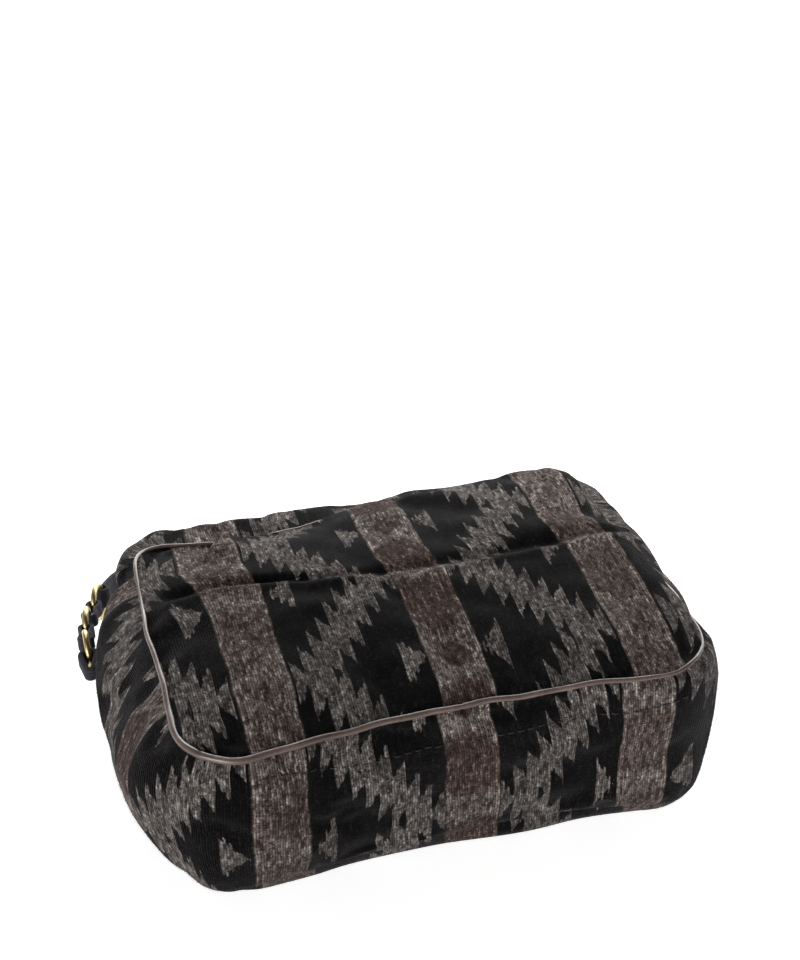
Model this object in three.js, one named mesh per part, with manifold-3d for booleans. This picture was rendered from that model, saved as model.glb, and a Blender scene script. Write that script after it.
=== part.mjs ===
// A soft zip-top shoulder bag that lies on its back: front panel up, bottom towards -Y, top towards +Y.
// Millimetres, +Z up. The origin is the middle of the flat of the back panel, on the table.
import * as THREE from "three";
import { mergeVertices } from "three/addons/utils/BufferGeometryUtils.js";
import Module from "manifold-3d";

const wasm = await Module();
wasm.setup();

// Outline of the front seam in plan
const panelHeight = 201;
const bottomWidth = 290;
const topWidth = 264;
const bottomCorner = 34;
const topCorner = 22;
const lowerWaist = 8;

// Height of the front seam over the table, and of the filled front panel over its seam
const bottomDepth = 101;
const topDepth = 84;
const panelDome = 7;
const edgePower = 6;
const rolledPower = 14;

// Crease across the front panel, with a lip along it and a trough behind it, and how steeply the cloth
// falls from it to the top seam
const creaseY = 8.5;
const creaseLeftSkew = -0.154;
const creaseRightSkew = 0.04;
const creaseLip = 1;
const creaseTrough = 3.5;
const troughOffset = 6;
const troughWidth = 5;
const leftFall = THREE.MathUtils.degToRad(16.5);
const rightFall = THREE.MathUtils.degToRad(5);
const creaseSoftness = 1.5;

// How far the gusset swells past its seams, along the edges and at the corners
const bottomBulge = 7;
const lowerRightBulge = 13;
const rightBulge = 24;
const upperRightBulge = 20;
const topBulge = 33;
const upperLeftBulge = 29;
const leftBulge = 34;
const lowerLeftBulge = 14;
const topLift = THREE.MathUtils.degToRad(12);
const swellPower = 0.7;

// Back panel: its seam lies a little in and up from the table, and is lifted along the bottom
const backInset = 1;
const backSeamHeight = 6;
const lowerSeamLift = 7;
const flatShare = 0.955;

// Cloth, lining and piping
const clothThickness = 3;
const liningThickness = 0.8;
const liningChamfer = 8;
const liningMargin = 2.5;
const pipingDiameter = 4.8;
const seamGap = 0.3;
const pipingGap = 0.5;
const sideSeamDrop = 7;

// Zipper in the top gusset
const zipLength = 200;
const windowHeight = 12;
const tapeThickness = 0.9;
const tapeTuck = 5;
const teethWidth = 2.4;
const teethDepth = 3;
const teethSink = 1.7;
const postThickness = 0.6;
const postLength = 3;
const stopLength = 3;
const sliderLength = 12;
const sliderHeight = 8.6;
const sliderPlate = 1.2;
const sliderLip = 1.2;
const sliderPark = 4;
const pullBar = 1.6;
const pullBarSpan = 7;
const pullEye = 4.8;
const pullEyeWidth = 4.6;
const pullLength = 26;
const pullWidth = 8;
const pullThickness = 1.8;

// Side tabs, rings and loops of the strap
const tabDrop = 50.5;
const tabHeight = 43;
const tabLength = 23;
const tabWidth = 9;
const tabLayer = 4;
const suedeThickness = 2.4;
const ringRadius = 10;
const wireDiameter = 3.4;
const ringCount = 3;
const wireGap = 14;
const loopWidth = 8;
const linkTurn = THREE.MathUtils.degToRad(5);
const strapWidth = 12;
const strapThickness = 4;
const strapBend = 60;
const strapLead = 6;
const tableGap = 0.2;
const fitGap = 0.3;

// Colours and finishes
const finishes = {
  cloth: { color: 0x4a4542, roughness: 0.95, metalness: 0 },
  leather: { color: 0x7d6a60, roughness: 0.45, metalness: 0 },
  suede: { color: 0x17161a, roughness: 0.9, metalness: 0 },
  brass: { color: 0x9c7d4a, roughness: 0.35, metalness: 1 },
  tape: { color: 0x1c1a1b, roughness: 0.9, metalness: 0 },
  lining: { color: 0x3b3532, roughness: 0.8, metalness: 0 },
};

const bag = new THREE.Group();

function addMesh(name, geometry, finish, parent = bag) {
  const mesh = new THREE.Mesh(geometry, new THREE.MeshStandardMaterial(finishes[finish]));
  mesh.name = name;
  parent.add(mesh);
  return mesh;
}

// Walks a trapezoid with rounded corners anticlockwise, from the middle of its lower edge.
// u counts the stretches passed, so its whole part is a stretch and the rest how far along it.
const stretches = [
  "right half of the bottom",
  "lower right corner",
  "right",
  "upper right corner",
  "top",
  "upper left corner",
  "left",
  "lower left corner",
  "left half of the bottom",
];
const walkEnd = stretches.length;
const rightEdge = stretches.indexOf("right");
const topEdge = stretches.indexOf("top");
const leftEdge = stretches.indexOf("left");

function outlineOf(inset) {
  const half = panelHeight / 2 - inset;
  const lower = bottomWidth / 2 - inset;
  const upper = topWidth / 2 - inset;
  const start = new THREE.Vector2(0, -half);
  const corners = [
    { at: new THREE.Vector2(lower, -half), radius: bottomCorner },
    { at: new THREE.Vector2(upper, half), radius: topCorner },
    { at: new THREE.Vector2(-upper, half), radius: topCorner },
    { at: new THREE.Vector2(-lower, -half), radius: bottomCorner },
  ];
  const pieces = [];
  let from = start;
  corners.forEach((corner, i) => {
    const next = i < 3 ? corners[i + 1].at : start;
    const into = corner.at.clone().sub(from).normalize();
    const out = next.clone().sub(corner.at).normalize();
    const turn = Math.acos(into.dot(out));
    const reach = corner.radius * Math.tan(turn / 2);
    const arcStart = corner.at.clone().addScaledVector(into, -reach);
    const facing = Math.atan2(-into.x, into.y);
    const normal = new THREE.Vector2(Math.cos(facing), Math.sin(facing));
    const centre = arcStart.clone().addScaledVector(normal, -corner.radius);
    pieces.push({ from, to: arcStart, facing, turn: 0 });
    pieces.push({ centre, radius: corner.radius, facing, turn });
    from = corner.at.clone().addScaledVector(out, reach);
  });
  pieces.push({ from, to: start, facing: -Math.PI / 2, turn: 0 });
  const waistReach = pieces[0].to.x;
  return (u) => {
    const wrapped = ((u % walkEnd) + walkEnd) % walkEnd;
    const piece = pieces[Math.floor(wrapped)];
    const along = wrapped - Math.floor(wrapped);
    const angle = piece.facing + piece.turn * along;
    const normal = new THREE.Vector2(Math.cos(angle), Math.sin(angle));
    if (piece.centre) {
      return { point: piece.centre.clone().addScaledVector(normal, piece.radius), normal };
    }
    const point = piece.from.clone().lerp(piece.to, along);
    const isBottom = piece === pieces[0] || piece === pieces[walkEnd - 1];
    if (!isBottom) return { point, normal };
    const reach = point.x / waistReach;
    const slope = -8 * reach ** 3 * (1 - reach ** 4) * lowerWaist / waistReach;
    point.y += lowerWaist * (1 - reach ** 4) ** 2;
    return { point, normal: new THREE.Vector2(slope, -1).normalize() };
  };
}

const frontOutline = outlineOf(0);
const backOutline = outlineOf(backInset);

// Seams
function frontSeam(u) {
  const { point } = frontOutline(u);
  const rise = point.y / panelHeight + 0.5;
  return new THREE.Vector3(point.x, point.y, THREE.MathUtils.lerp(bottomDepth, topDepth, rise));
}

function backSeam(u) {
  const { point, normal } = backOutline(u);
  const towardsBottom = Math.max(0, -normal.y) ** 2;
  const towardsMiddle = 1 - (2 * point.x / bottomWidth) ** 2;
  const lift = lowerSeamLift * towardsBottom * Math.max(0, towardsMiddle);
  return new THREE.Vector3(point.x, point.y, backSeamHeight + lift);
}

// The filled front: level from the bottom to the crease, then falling to the top
function creaseAt(x) {
  return creaseY + (x < 0 ? creaseLeftSkew : creaseRightSkew) * x;
}

function creaseRelief(x, y) {
  const past = y - creaseAt(x);
  const deep = THREE.MathUtils.lerp(1, 0.5, THREE.MathUtils.smoothstep(x, -bottomWidth / 4, bottomWidth / 4));
  const lip = creaseLip * Math.exp(-(((past + troughOffset / 2) / troughWidth) ** 2));
  const trough = creaseTrough * Math.exp(-(((past - troughOffset) / troughWidth) ** 2));
  return lip - deep * trough;
}

function panelTop(x, y) {
  const level = bottomDepth + panelDome;
  const share = THREE.MathUtils.clamp(x / bottomWidth + 0.5, 0, 1);
  const fall = Math.tan(THREE.MathUtils.lerp(leftFall, rightFall, share));
  const drop = fall * (y - creaseAt(x));
  return level - creaseSoftness * Math.log(1 + Math.exp(drop / creaseSoftness)) + creaseRelief(x, y);
}

// Eases from one mark round the walk to the next
function alongWalk(marks, u) {
  const wrapped = ((u % walkEnd) + walkEnd) % walkEnd;
  const next = marks.findIndex(([mark]) => mark > wrapped);
  const [start, first] = marks[next - 1];
  const [end, last] = marks[next];
  return THREE.MathUtils.lerp(first, last, THREE.MathUtils.smoothstep(wrapped, start, end));
}

// Surfaces, all with rows of v from the middle of the front over the gusset to the middle of the back
const frontPole = new THREE.Vector2(0, creaseY);

// The cloth rolls over the seam along the right side and the right half of the top
const rolls = [
  [0, edgePower],
  [1.9, edgePower],
  [2.2, rolledPower],
  [2.5, rolledPower],
  [2.9, edgePower],
  [3.5, edgePower],
  [4, rolledPower],
  [4.5, rolledPower],
  [4.8, edgePower],
  [walkEnd, edgePower],
];

function frontSurface(u, v) {
  const seam = frontSeam(u);
  const x = THREE.MathUtils.lerp(frontPole.x, seam.x, v);
  const y = THREE.MathUtils.lerp(frontPole.y, seam.y, v);
  return new THREE.Vector3(x, y, THREE.MathUtils.lerp(panelTop(x, y), seam.z, v ** alongWalk(rolls, u)));
}

// The swell along the walk: full over the top and the upper sides, and less round the corners
const bulges = [
  [0, bottomBulge],
  [1.5, lowerRightBulge],
  [2.4, rightBulge],
  [3, rightBulge],
  [3.5, upperRightBulge],
  [4, topBulge],
  [5, topBulge],
  [5.5, upperLeftBulge],
  [6, leftBulge],
  [6.6, leftBulge],
  [7.5, lowerLeftBulge],
  [walkEnd, bottomBulge],
];


function gussetSurface(u, v) {
  const { normal } = frontOutline(u);
  const lift = topLift * Math.max(0, normal.y) ** 2;
  const level = Math.cos(lift);
  const outwards = new THREE.Vector3(normal.x * level, normal.y * level, Math.sin(lift));
  const fullness = Math.max(0, 4 * v * (1 - v)) ** swellPower;
  const point = frontSeam(u).lerp(backSeam(u), v);
  return point.addScaledVector(outwards, alongWalk(bulges, u) * fullness);
}

function backSurface(u, v) {
  const seam = backSeam(u);
  const out = 1 - v;
  const curl = Math.max(0, (out - flatShare) / (1 - flatShare)) ** 2;
  return new THREE.Vector3(seam.x * out, seam.y * out, seam.z * curl);
}

function normalAt(surface, u, v) {
  const step = 1e-3;
  const along = surface(u + step, v).sub(surface(u - step, v));
  const across = surface(u, v + step).sub(surface(u, v - step));
  return across.cross(along).normalize();
}

// The v at which a surface has come to a given distance from the line of its seam
function vAtDistance(surface, u, seamV, insideV, distance) {
  const step = 1e-3;
  const seam = surface(u, seamV);
  const ahead = surface(u + step, seamV).sub(surface(u - step, seamV)).normalize();
  const distanceAt = (v) => surface(u, v).sub(seam).cross(ahead).length();
  let near = seamV;
  let far = insideV;
  for (let i = 0; i < 40; i += 1) {
    const middle = (near + far) / 2;
    if (distanceAt(middle) < distance) near = middle;
    else far = middle;
  }
  return (near + far) / 2;
}

// How far two cloths stop short of the seam they meet at, so that their inner edges clear each other.
// Where the seam lies in a fold, the inner edges part by themselves.
function seamSetback(u, first, second) {
  const firstNormal = normalAt(first, u, 1);
  const away = second(u, 1e-3).sub(second(u, 0));
  const isFold = firstNormal.dot(away) > 0;
  const turn = isFold ? 0 : firstNormal.angleTo(normalAt(second, u, 0));
  return clothThickness * Math.tan(turn / 2) + seamGap / 2;
}

function frontSetback(u) {
  return Math.max(pipingDiameter / 2 + pipingGap, seamSetback(u, frontSurface, gussetSurface));
}

function backSetback(u) {
  return seamSetback(u, gussetSurface, backSurface);
}

// A closed piece of cloth between two depths under its surface, as rows of v by columns of u.
// Pole rows shrink to one point, and a window leaves cells out.
function cloth(columns, rowsAt, [outerDepth, innerDepth], options = {}) {
  const { closed = false, firstPole = false, lastPole = false, isWindow = () => false } = options;
  const samples = columns.map((u) => rowsAt(u).map((row) => ({ ...row, u })));
  const lastRow = samples[0].length - 1;
  const positions = [];
  const addSkin = (depth) => {
    const poles = new Map();
    return samples.map((column) => column.map(({ surface, u, v }, row) => {
      const isPole = (firstPole && row === 0) || (lastPole && row === lastRow);
      if (isPole && poles.has(row)) return poles.get(row);
      const poleNormal = new THREE.Vector3(0, 0, row === 0 ? 1 : -1);
      const normal = isPole ? poleNormal : normalAt(surface, u, v);
      const point = surface(u, v).addScaledVector(normal, -depth);
      const index = positions.length / 3;
      positions.push(point.x, point.y, point.z);
      poles.set(row, index);
      return index;
    }));
  };
  const outer = addSkin(outerDepth);
  const inner = addSkin(innerDepth);
  const cellColumns = closed ? columns.length : columns.length - 1;
  const isCell = (row, column) => {
    if (row < 0 || row >= lastRow) return false;
    if (!closed && (column < 0 || column >= cellColumns)) return false;
    return !isWindow(row, (column + cellColumns) % cellColumns);
  };
  const indices = [];
  const addTriangle = (a, b, c) => {
    if (a !== b && b !== c && c !== a) indices.push(a, b, c);
  };
  const addQuad = (a, b, c, d) => {
    addTriangle(a, b, c);
    addTriangle(a, c, d);
  };
  for (let row = 0; row < lastRow; row += 1) {
    for (let column = 0; column < cellColumns; column += 1) {
      if (!isCell(row, column)) continue;
      const next = (column + 1) % columns.length;
      const ring = [[column, row], [column, row + 1], [next, row + 1], [next, row]];
      const out = ring.map(([c, r]) => outer[c][r]);
      const back = ring.map(([c, r]) => inner[c][r]);
      addQuad(...out);
      addQuad(back[0], back[3], back[2], back[1]);
      const beside = [[row, column - 1], [row + 1, column], [row, column + 1], [row - 1, column]];
      beside.forEach(([r, c], side) => {
        const end = (side + 1) % 4;
        if (!isCell(r, c) && out[side] !== out[end]) {
          addQuad(out[end], out[side], back[side], back[end]);
        }
      });
    }
  }
  return indexed(positions, indices);
}

function indexed(positions, indices) {
  const geometry = new THREE.BufferGeometry();
  geometry.setAttribute("position", new THREE.Float32BufferAttribute(positions, 3));
  geometry.setIndex(indices);
  geometry.computeVertexNormals();
  return geometry;
}

// A solid through a row of like sections: a closed ring of them, or a bar with flat ends
function loft(sections, closed) {
  const count = sections[0].length;
  const positions = sections.flat().flatMap((p) => [p.x, p.y, p.z]);
  const indices = [];
  const spans = closed ? sections.length : sections.length - 1;
  for (let i = 0; i < spans; i += 1) {
    const here = i * count;
    const next = ((i + 1) % sections.length) * count;
    for (let j = 0; j < count; j += 1) {
      const k = (j + 1) % count;
      indices.push(here + j, here + k, next + k, here + j, next + k, next + j);
    }
  }
  if (!closed) {
    const last = (sections.length - 1) * count;
    for (let j = 1; j < count - 1; j += 1) {
      indices.push(0, j + 1, j);
      indices.push(last, last + j, last + j + 1);
    }
  }
  return indexed(positions, indices);
}

// Joining solids
function solidOf(geometry) {
  const plain = geometry.clone();
  plain.deleteAttribute("normal");
  plain.deleteAttribute("uv");
  const merged = mergeVertices(plain, 1e-4);
  const vertProperties = new Float32Array(merged.attributes.position.array);
  const triVerts = new Uint32Array(merged.index.array);
  return new wasm.Manifold(new wasm.Mesh({ numProp: 3, vertProperties, triVerts }));
}

function joined(geometries) {
  const [first, ...others] = geometries.map(solidOf);
  const mesh = others.reduce((whole, other) => whole.add(other), first).getMesh();
  return indexed(Array.from(mesh.vertProperties), Array.from(mesh.triVerts));
}

function box(sizeX, sizeY, sizeZ, x, y, z) {
  return new THREE.BoxGeometry(sizeX, sizeY, sizeZ).translate(x, y, z);
}

// Stations round the walk: even steps on each stretch, with the marks put in exactly
function stationsOf(steps, marks) {
  const clearOfMarks = 0.35;
  const even = steps.flatMap((count, stretch) => (
    Array.from({ length: count }, (_, i) => ({ u: stretch + i / count, size: 1 / count }))
  ));
  const kept = even.filter(({ u, size }) => (
    marks.every((mark) => Math.abs(mark - u) > clearOfMarks * size)
  ));
  return [...kept.map(({ u }) => u), ...marks].sort((a, b) => a - b);
}

// Where a straight stretch of the walk first satisfies a test that turns true along it
function markOn(stretch, test) {
  let before = stretch;
  let after = stretch + 1 - 1e-9;
  for (let i = 0; i < 50; i += 1) {
    const middle = (before + after) / 2;
    if (test(frontOutline(middle).point, middle)) after = middle;
    else before = middle;
  }
  return (before + after) / 2;
}

const stretchLength = (stretch) => (
  frontOutline(stretch + 1 - 1e-9).point.distanceTo(frontOutline(stretch).point)
);

const rightSeam = rightEdge + 1 - sideSeamDrop / stretchLength(rightEdge);
const leftSeam = leftEdge + sideSeamDrop / stretchLength(leftEdge);
const windowStart = markOn(topEdge, (point) => point.x < zipLength / 2);
const windowEnd = markOn(topEdge, (point) => point.x < -zipLength / 2);
const creaseMarks = [-troughOffset, 0, troughOffset, 2 * troughOffset + troughWidth].flatMap((past) => [
  markOn(rightEdge, (point) => point.y > creaseAt(point.x) + past),
  markOn(leftEdge, (point) => point.y < creaseAt(point.x) + past),
]);
const walkSteps = [6, 6, 7, 6, 7, 6, 7, 6, 6];
const stations = stationsOf(walkSteps, [...creaseMarks, windowStart, windowEnd]);

function stationsBetween(start, end) {
  const twice = [...stations, ...stations.map((u) => u + walkEnd)];
  const margin = 0.03;
  const inside = twice.filter((u) => u > start + margin && u < end - margin);
  return [start, ...inside, end];
}

// Front panel, piping and back panel
const frontRows = [0, 0.3, 0.55, 0.72, 0.84, 0.93, 1];

function frontPanelRows(u) {
  const edge = vAtDistance(frontSurface, u, 1, 0.5, frontSetback(u));
  return frontRows.map((share) => ({ surface: frontSurface, v: share * edge }));
}

addMesh("front_panel", cloth(stations, frontPanelRows, [0, clothThickness], {
  closed: true,
  firstPole: true,
}), "cloth");

function pipingSection(u) {
  const sides = 8;
  const centre = frontSeam(u);
  const ahead = frontSeam(u + 1e-3).sub(frontSeam(u - 1e-3)).normalize();
  const { normal } = frontOutline(u);
  const out = new THREE.Vector3(normal.x, normal.y, 0);
  const down = ahead.clone().cross(out);
  return Array.from({ length: sides }, (_, i) => {
    const angle = 2 * Math.PI * i / sides;
    return centre.clone()
      .addScaledVector(out, pipingDiameter / 2 * Math.cos(angle))
      .addScaledVector(down, pipingDiameter / 2 * Math.sin(angle));
  });
}

addMesh("front_piping", loft(stations.map(pipingSection), true), "leather");

const backRows = [0, 0.25, 0.55, 0.8, 1];

function backPanelRows(u) {
  const edge = vAtDistance(backSurface, u, 0, 0.5, backSetback(u));
  const curl = 1 - flatShare;
  const curled = backRows.map((share) => ({
    surface: backSurface,
    v: THREE.MathUtils.lerp(edge, curl, share),
  }));
  return [...curled, { surface: backSurface, v: 1 }];
}

addMesh("back_panel", cloth(stations, backPanelRows, [0, clothThickness], {
  closed: true,
  lastPole: true,
}), "cloth");

// Gussets
const acrossLength = frontSeam(topEdge + 0.5).distanceTo(backSeam(topEdge + 0.5));
const windowShare = windowHeight / 2 / acrossLength;
const tuckShare = (windowHeight / 2 + tapeTuck) / acrossLength;
const shoulderShares = [0.04, 0.12, 0.22];
const halfRows = [0, ...shoulderShares, 0.5 - tuckShare, 0.5 - windowShare];
const gussetRows = [...halfRows, ...halfRows.map((share) => 1 - share).reverse()];

function gussetPieceRows(u) {
  const front = vAtDistance(gussetSurface, u, 0, 0.5, frontSetback(u));
  const back = vAtDistance(gussetSurface, u, 1, 0.5, backSetback(u));
  return gussetRows.map((share, i) => {
    const isEdge = i === 0 || i === gussetRows.length - 1;
    const edge = i === 0 ? front : back;
    return { surface: gussetSurface, v: isEdge ? edge : share };
  });
}

const rightGap = seamGap / 2 / stretchLength(rightEdge);
const leftGap = seamGap / 2 / stretchLength(leftEdge);
const mainColumns = stationsBetween(leftSeam + leftGap, rightSeam - rightGap + walkEnd);
addMesh("main_gusset", cloth(mainColumns, gussetPieceRows, [0, clothThickness]), "cloth");

const topColumns = stationsBetween(rightSeam + rightGap, leftSeam - leftGap);
const windowRow = halfRows.length - 1;
const firstWindowColumn = topColumns.indexOf(windowStart);
const lastWindowColumn = topColumns.indexOf(windowEnd);
addMesh("top_gusset", cloth(topColumns, gussetPieceRows, [0, clothThickness], {
  isWindow: (row, column) => (
    row === windowRow && column >= firstWindowColumn && column < lastWindowColumn
  ),
}), "cloth");

// Zipper, in a frame of its own: X along the teeth, Y out of the bag, Z across the tapes
const zipCentre = gussetSurface(topEdge + 0.5, 0.5);
const zipNormal = normalAt(gussetSurface, topEdge + 0.5, 0.5);
const zipTilt = Math.atan2(zipNormal.z, zipNormal.y);
const zip = new THREE.Group();
zip.position.copy(zipCentre);
zip.rotation.x = zipTilt;
bag.add(zip);

const teethHalfGap = postThickness / 2 + fitGap;
const teethCentre = teethHalfGap + teethWidth / 2;
const tapeDepth = clothThickness + seamGap;
const teethEdge = teethHalfGap + teethWidth;
const crestRadius = acrossLength ** 2 / (8 * swellPower * topBulge);
const tapeEdge = (teethEdge + fitGap) * crestRadius / (crestRadius - tapeDepth - tapeThickness);
const windowHalf = gussetSurface(windowStart, 0.5 + windowShare).x;
const teethLength = 2 * (windowHalf - stopLength - 2 * fitGap);
const teethMiddle = -teethSink - teethDepth / 2;
const tapeEndShare = fitGap / stretchLength(topEdge);
const tapeColumns = [windowStart + tapeEndShare, windowEnd - tapeEndShare];

function addZipSide(side, name) {
  const inner = 0.5 + side * tapeEdge / acrossLength;
  const outer = 0.5 + side * tuckShare;
  const shares = side < 0 ? [0, 0.34, 0.67, 1] : [1, 0.67, 0.34, 0];
  const rowsAt = () => shares.map((share) => ({
    surface: gussetSurface,
    v: THREE.MathUtils.lerp(outer, inner, share),
  }));
  addMesh(`zip_tape_${name}`, cloth(tapeColumns, rowsAt, [tapeDepth, tapeDepth + tapeThickness]), "tape");
  const row = box(teethLength, teethDepth, teethWidth, 0, teethMiddle, -side * teethCentre);
  addMesh(`zip_teeth_${name}`, row, "brass", zip);
}

addZipSide(-1, "front");
addZipSide(1, "back");

const stopHeight = 2 * teethEdge;
const stopX = teethLength / 2 + fitGap + stopLength / 2;
addMesh("zip_stop_left", box(stopLength, teethDepth, stopHeight, -stopX, teethMiddle, 0), "brass", zip);
addMesh("zip_stop_right", box(stopLength, teethDepth, stopHeight, stopX, teethMiddle, 0), "brass", zip);

// Slider: two plates joined by a post between the rows of teeth, with lips and a bar for the pull
const plateY = -teethSink + fitGap + sliderPlate / 2;
const underPlateY = -teethSink - teethDepth - fitGap - sliderPlate / 2;
const plateTop = plateY + sliderPlate / 2;
const lipThickness = sliderHeight / 2 - teethEdge - fitGap;
const barY = plateTop + fitGap + pullEye / 2;
const barX = pullBarSpan / 2;
const lipZ = sliderHeight / 2 - lipThickness / 2;
const lipY = plateY - sliderPlate / 2 - sliderLip / 2;
const legHeight = barY - plateY;
const slider = new THREE.Group();
slider.position.x = teethLength / 2 - sliderPark - sliderLength / 2;
zip.add(slider);
addMesh("zip_slider", joined([
  box(sliderLength, sliderPlate, sliderHeight, 0, plateY, 0),
  box(sliderLength, sliderPlate, sliderHeight, 0, underPlateY, 0),
  box(postLength, plateY - underPlateY, postThickness, 0, (plateY + underPlateY) / 2, 0),
  box(sliderLength, sliderLip + sliderPlate, lipThickness, 0, lipY + sliderPlate / 2, lipZ),
  box(sliderLength, sliderLip + sliderPlate, lipThickness, 0, lipY + sliderPlate / 2, -lipZ),
  box(pullBar, legHeight, pullBar, -barX, plateY + legHeight / 2, 0),
  box(pullBar, legHeight, pullBar, barX, plateY + legHeight / 2, 0),
  new THREE.CylinderGeometry(pullBar / 2, pullBar / 2, pullBarSpan + pullBar, 12)
    .rotateZ(Math.PI / 2)
    .translate(0, barY, 0),
]), "brass", slider);

// Pull: an eye round the slider's bar and a blade with a round end, hanging straight down
function ringShape(outerRadius, holeRadius) {
  const shape = new THREE.Shape().absarc(0, 0, outerRadius, 0, 2 * Math.PI);
  shape.holes.push(new THREE.Path().absarc(0, 0, holeRadius, 0, 2 * Math.PI, true));
  return shape;
}

function pullBlade() {
  const half = pullWidth / 2;
  const top = -pullEye / 2 + pullThickness / 2;
  const shape = new THREE.Shape();
  shape.moveTo(-half, top);
  shape.lineTo(-half, -pullLength + half);
  shape.absarc(0, -pullLength + half, half, Math.PI, 2 * Math.PI);
  shape.lineTo(half, top);
  const blade = new THREE.ExtrudeGeometry(shape, {
    depth: pullThickness,
    bevelEnabled: false,
    curveSegments: 8,
  });
  return blade.rotateX(Math.PI / 2).translate(0, pullThickness / 2, 0);
}

const pull = new THREE.Group();
pull.position.y = barY;
pull.rotation.x = -zipTilt;
slider.add(pull);
const eye = new THREE.ExtrudeGeometry(ringShape(pullEye / 2, pullBar / 2 + fitGap), {
  depth: pullEyeWidth,
  bevelEnabled: false,
  curveSegments: 10,
}).translate(0, 0, -pullEyeWidth / 2).rotateY(Math.PI / 2);
addMesh("zip_pull", joined([eye, pullBlade()]), "brass", pull);

// Lining: one bag inside the cloth, open along the zipper
const liningDepth = tapeDepth + tapeThickness + 2 * seamGap;
const liningGap = windowHeight / 2 + liningMargin;
const liningShare = liningGap / acrossLength;
const liningEndShare = (zipLength / 2 + 2 * stopLength) / stretchLength(topEdge);
const liningStart = topEdge + 0.5 - liningEndShare;
const liningEnd = topEdge + 0.5 + liningEndShare;
const liningSteps = [4, 4, 4, 4, 4, 4, 4, 4, 4];
const liningStations = stationsOf(liningSteps, [...creaseMarks, liningStart, liningEnd]);

// Across the front seam: the last of the front for v under 0, and the first of the gusset over it
function frontHem(u, v) {
  return v < 0 ? frontSurface(u, 1 + v) : gussetSurface(u, v);
}

function liningRows(u) {
  const frontEdge = vAtDistance(frontSurface, u, 1, 0.5, liningChamfer);
  const gussetFront = vAtDistance(gussetSurface, u, 0, 0.5, liningChamfer);
  const gussetBack = vAtDistance(gussetSurface, u, 1, 0.5, liningChamfer);
  const backEdge = vAtDistance(backSurface, u, 0, 0.5, liningChamfer + backSeam(u).z);
  const front = [0, 0.45, 0.8, 1].map((share) => ({ surface: frontSurface, v: share * frontEdge }));
  const sides = [gussetFront, 0.5 - liningShare, 0.5 + liningShare, gussetBack];
  const gusset = sides.map((v) => ({ surface: gussetSurface, v }));
  const back = [backEdge, 1].map((v) => ({ surface: backSurface, v }));
  return [...front, { surface: frontHem, v: 0 }, ...gusset, ...back];
}

const liningWindowRow = 6;
const liningFirst = liningStations.indexOf(liningStart);
const liningLast = liningStations.indexOf(liningEnd);
addMesh("lining", cloth(liningStations, liningRows, [liningDepth, liningDepth + liningThickness], {
  closed: true,
  firstPole: true,
  lastPole: true,
  isWindow: (row, column) => (
    row === liningWindowRow && column >= liningFirst && column < liningLast
  ),
}), "lining");

// Suede bands with round ends and a slot, lying along +Y from the middle of the first end
function bandShape(length, layer, slotRadius, slotStart) {
  const outer = slotRadius + layer;
  const shape = new THREE.Shape();
  shape.absarc(0, 0, outer, Math.PI, 2 * Math.PI);
  shape.absarc(0, length, outer, 0, Math.PI);
  const slot = new THREE.Path();
  slot.absarc(0, slotStart, slotRadius, Math.PI, 2 * Math.PI);
  slot.absarc(0, length, slotRadius, 0, Math.PI);
  shape.holes.push(slot);
  return shape;
}

function slab(shape, width) {
  const options = { depth: width, bevelEnabled: false, curveSegments: 8 };
  return new THREE.ExtrudeGeometry(shape, options).translate(0, 0, -width / 2);
}

// How far a ring's wire reaches back across the width of the band that holds it
function wireSag(width) {
  const level = Math.sqrt(1 - (width / 2 / ringRadius) ** 2);
  return ringRadius * (1 - level) + wireDiameter / 2 * (1 / level - 1);
}

function slotFor(width) {
  return wireDiameter / 2 + fitGap + wireSag(width) / 2;
}

function ring() {
  return new THREE.TorusGeometry(ringRadius, wireDiameter / 2, 8, 20).rotateY(Math.PI / 2);
}

// A tab stands on the swell of each side gusset and holds the first ring in its far end
const tabSlot = slotFor(tabWidth);
const tabOuter = tabSlot + tabLayer;
const edgeTilt = Math.atan2((bottomWidth - topWidth) / 2, panelHeight);
const tabHole = new THREE.Vector2(tabOuter + seamGap, tabLength / 2 - tabOuter)
  .rotateAround(new THREE.Vector2(0, 0), edgeTilt);
const tabY = panelHeight / 2 - tabDrop;
const rightMark = markOn(rightEdge, (point, u) => gussetSurface(u, 0.5).y > tabY);
const leftMark = markOn(leftEdge, (point, u) => gussetSurface(u, 0.5).y < tabY);
const rightSeat = gussetSurface(rightMark, 0.5).setZ(tabHeight);
const leftSeat = gussetSurface(leftMark, 0.5).setZ(tabHeight);
const ringY = tabY + tabHole.y + ringRadius - wireSag(tabWidth) / 2;
const ringZ = tabHeight;

// A chain in the strap's plane: rings and loops in turn, each turned a little more inwards.
// x = 0 is the tab ring, and x grows towards the middle of the bag.
function headingOf(turn) {
  return new THREE.Vector2(Math.sin(turn), Math.cos(turn));
}

function chainLinks() {
  const links = [];
  const wire = new THREE.Vector2(0, ringRadius);
  for (let i = 1; i < ringCount; i += 1) {
    const loopTurn = (2 * i - 1) * linkTurn;
    const ringTurn = 2 * i * linkTurn;
    const loopStart = wire.clone();
    wire.addScaledVector(headingOf(loopTurn), wireGap);
    const centre = wire.clone().addScaledVector(headingOf(ringTurn), ringRadius);
    wire.addScaledVector(headingOf(ringTurn), 2 * ringRadius);
    links.push({ loopStart, loopTurn, centre, ringTurn });
  }
  return { links, end: wire };
}

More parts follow.
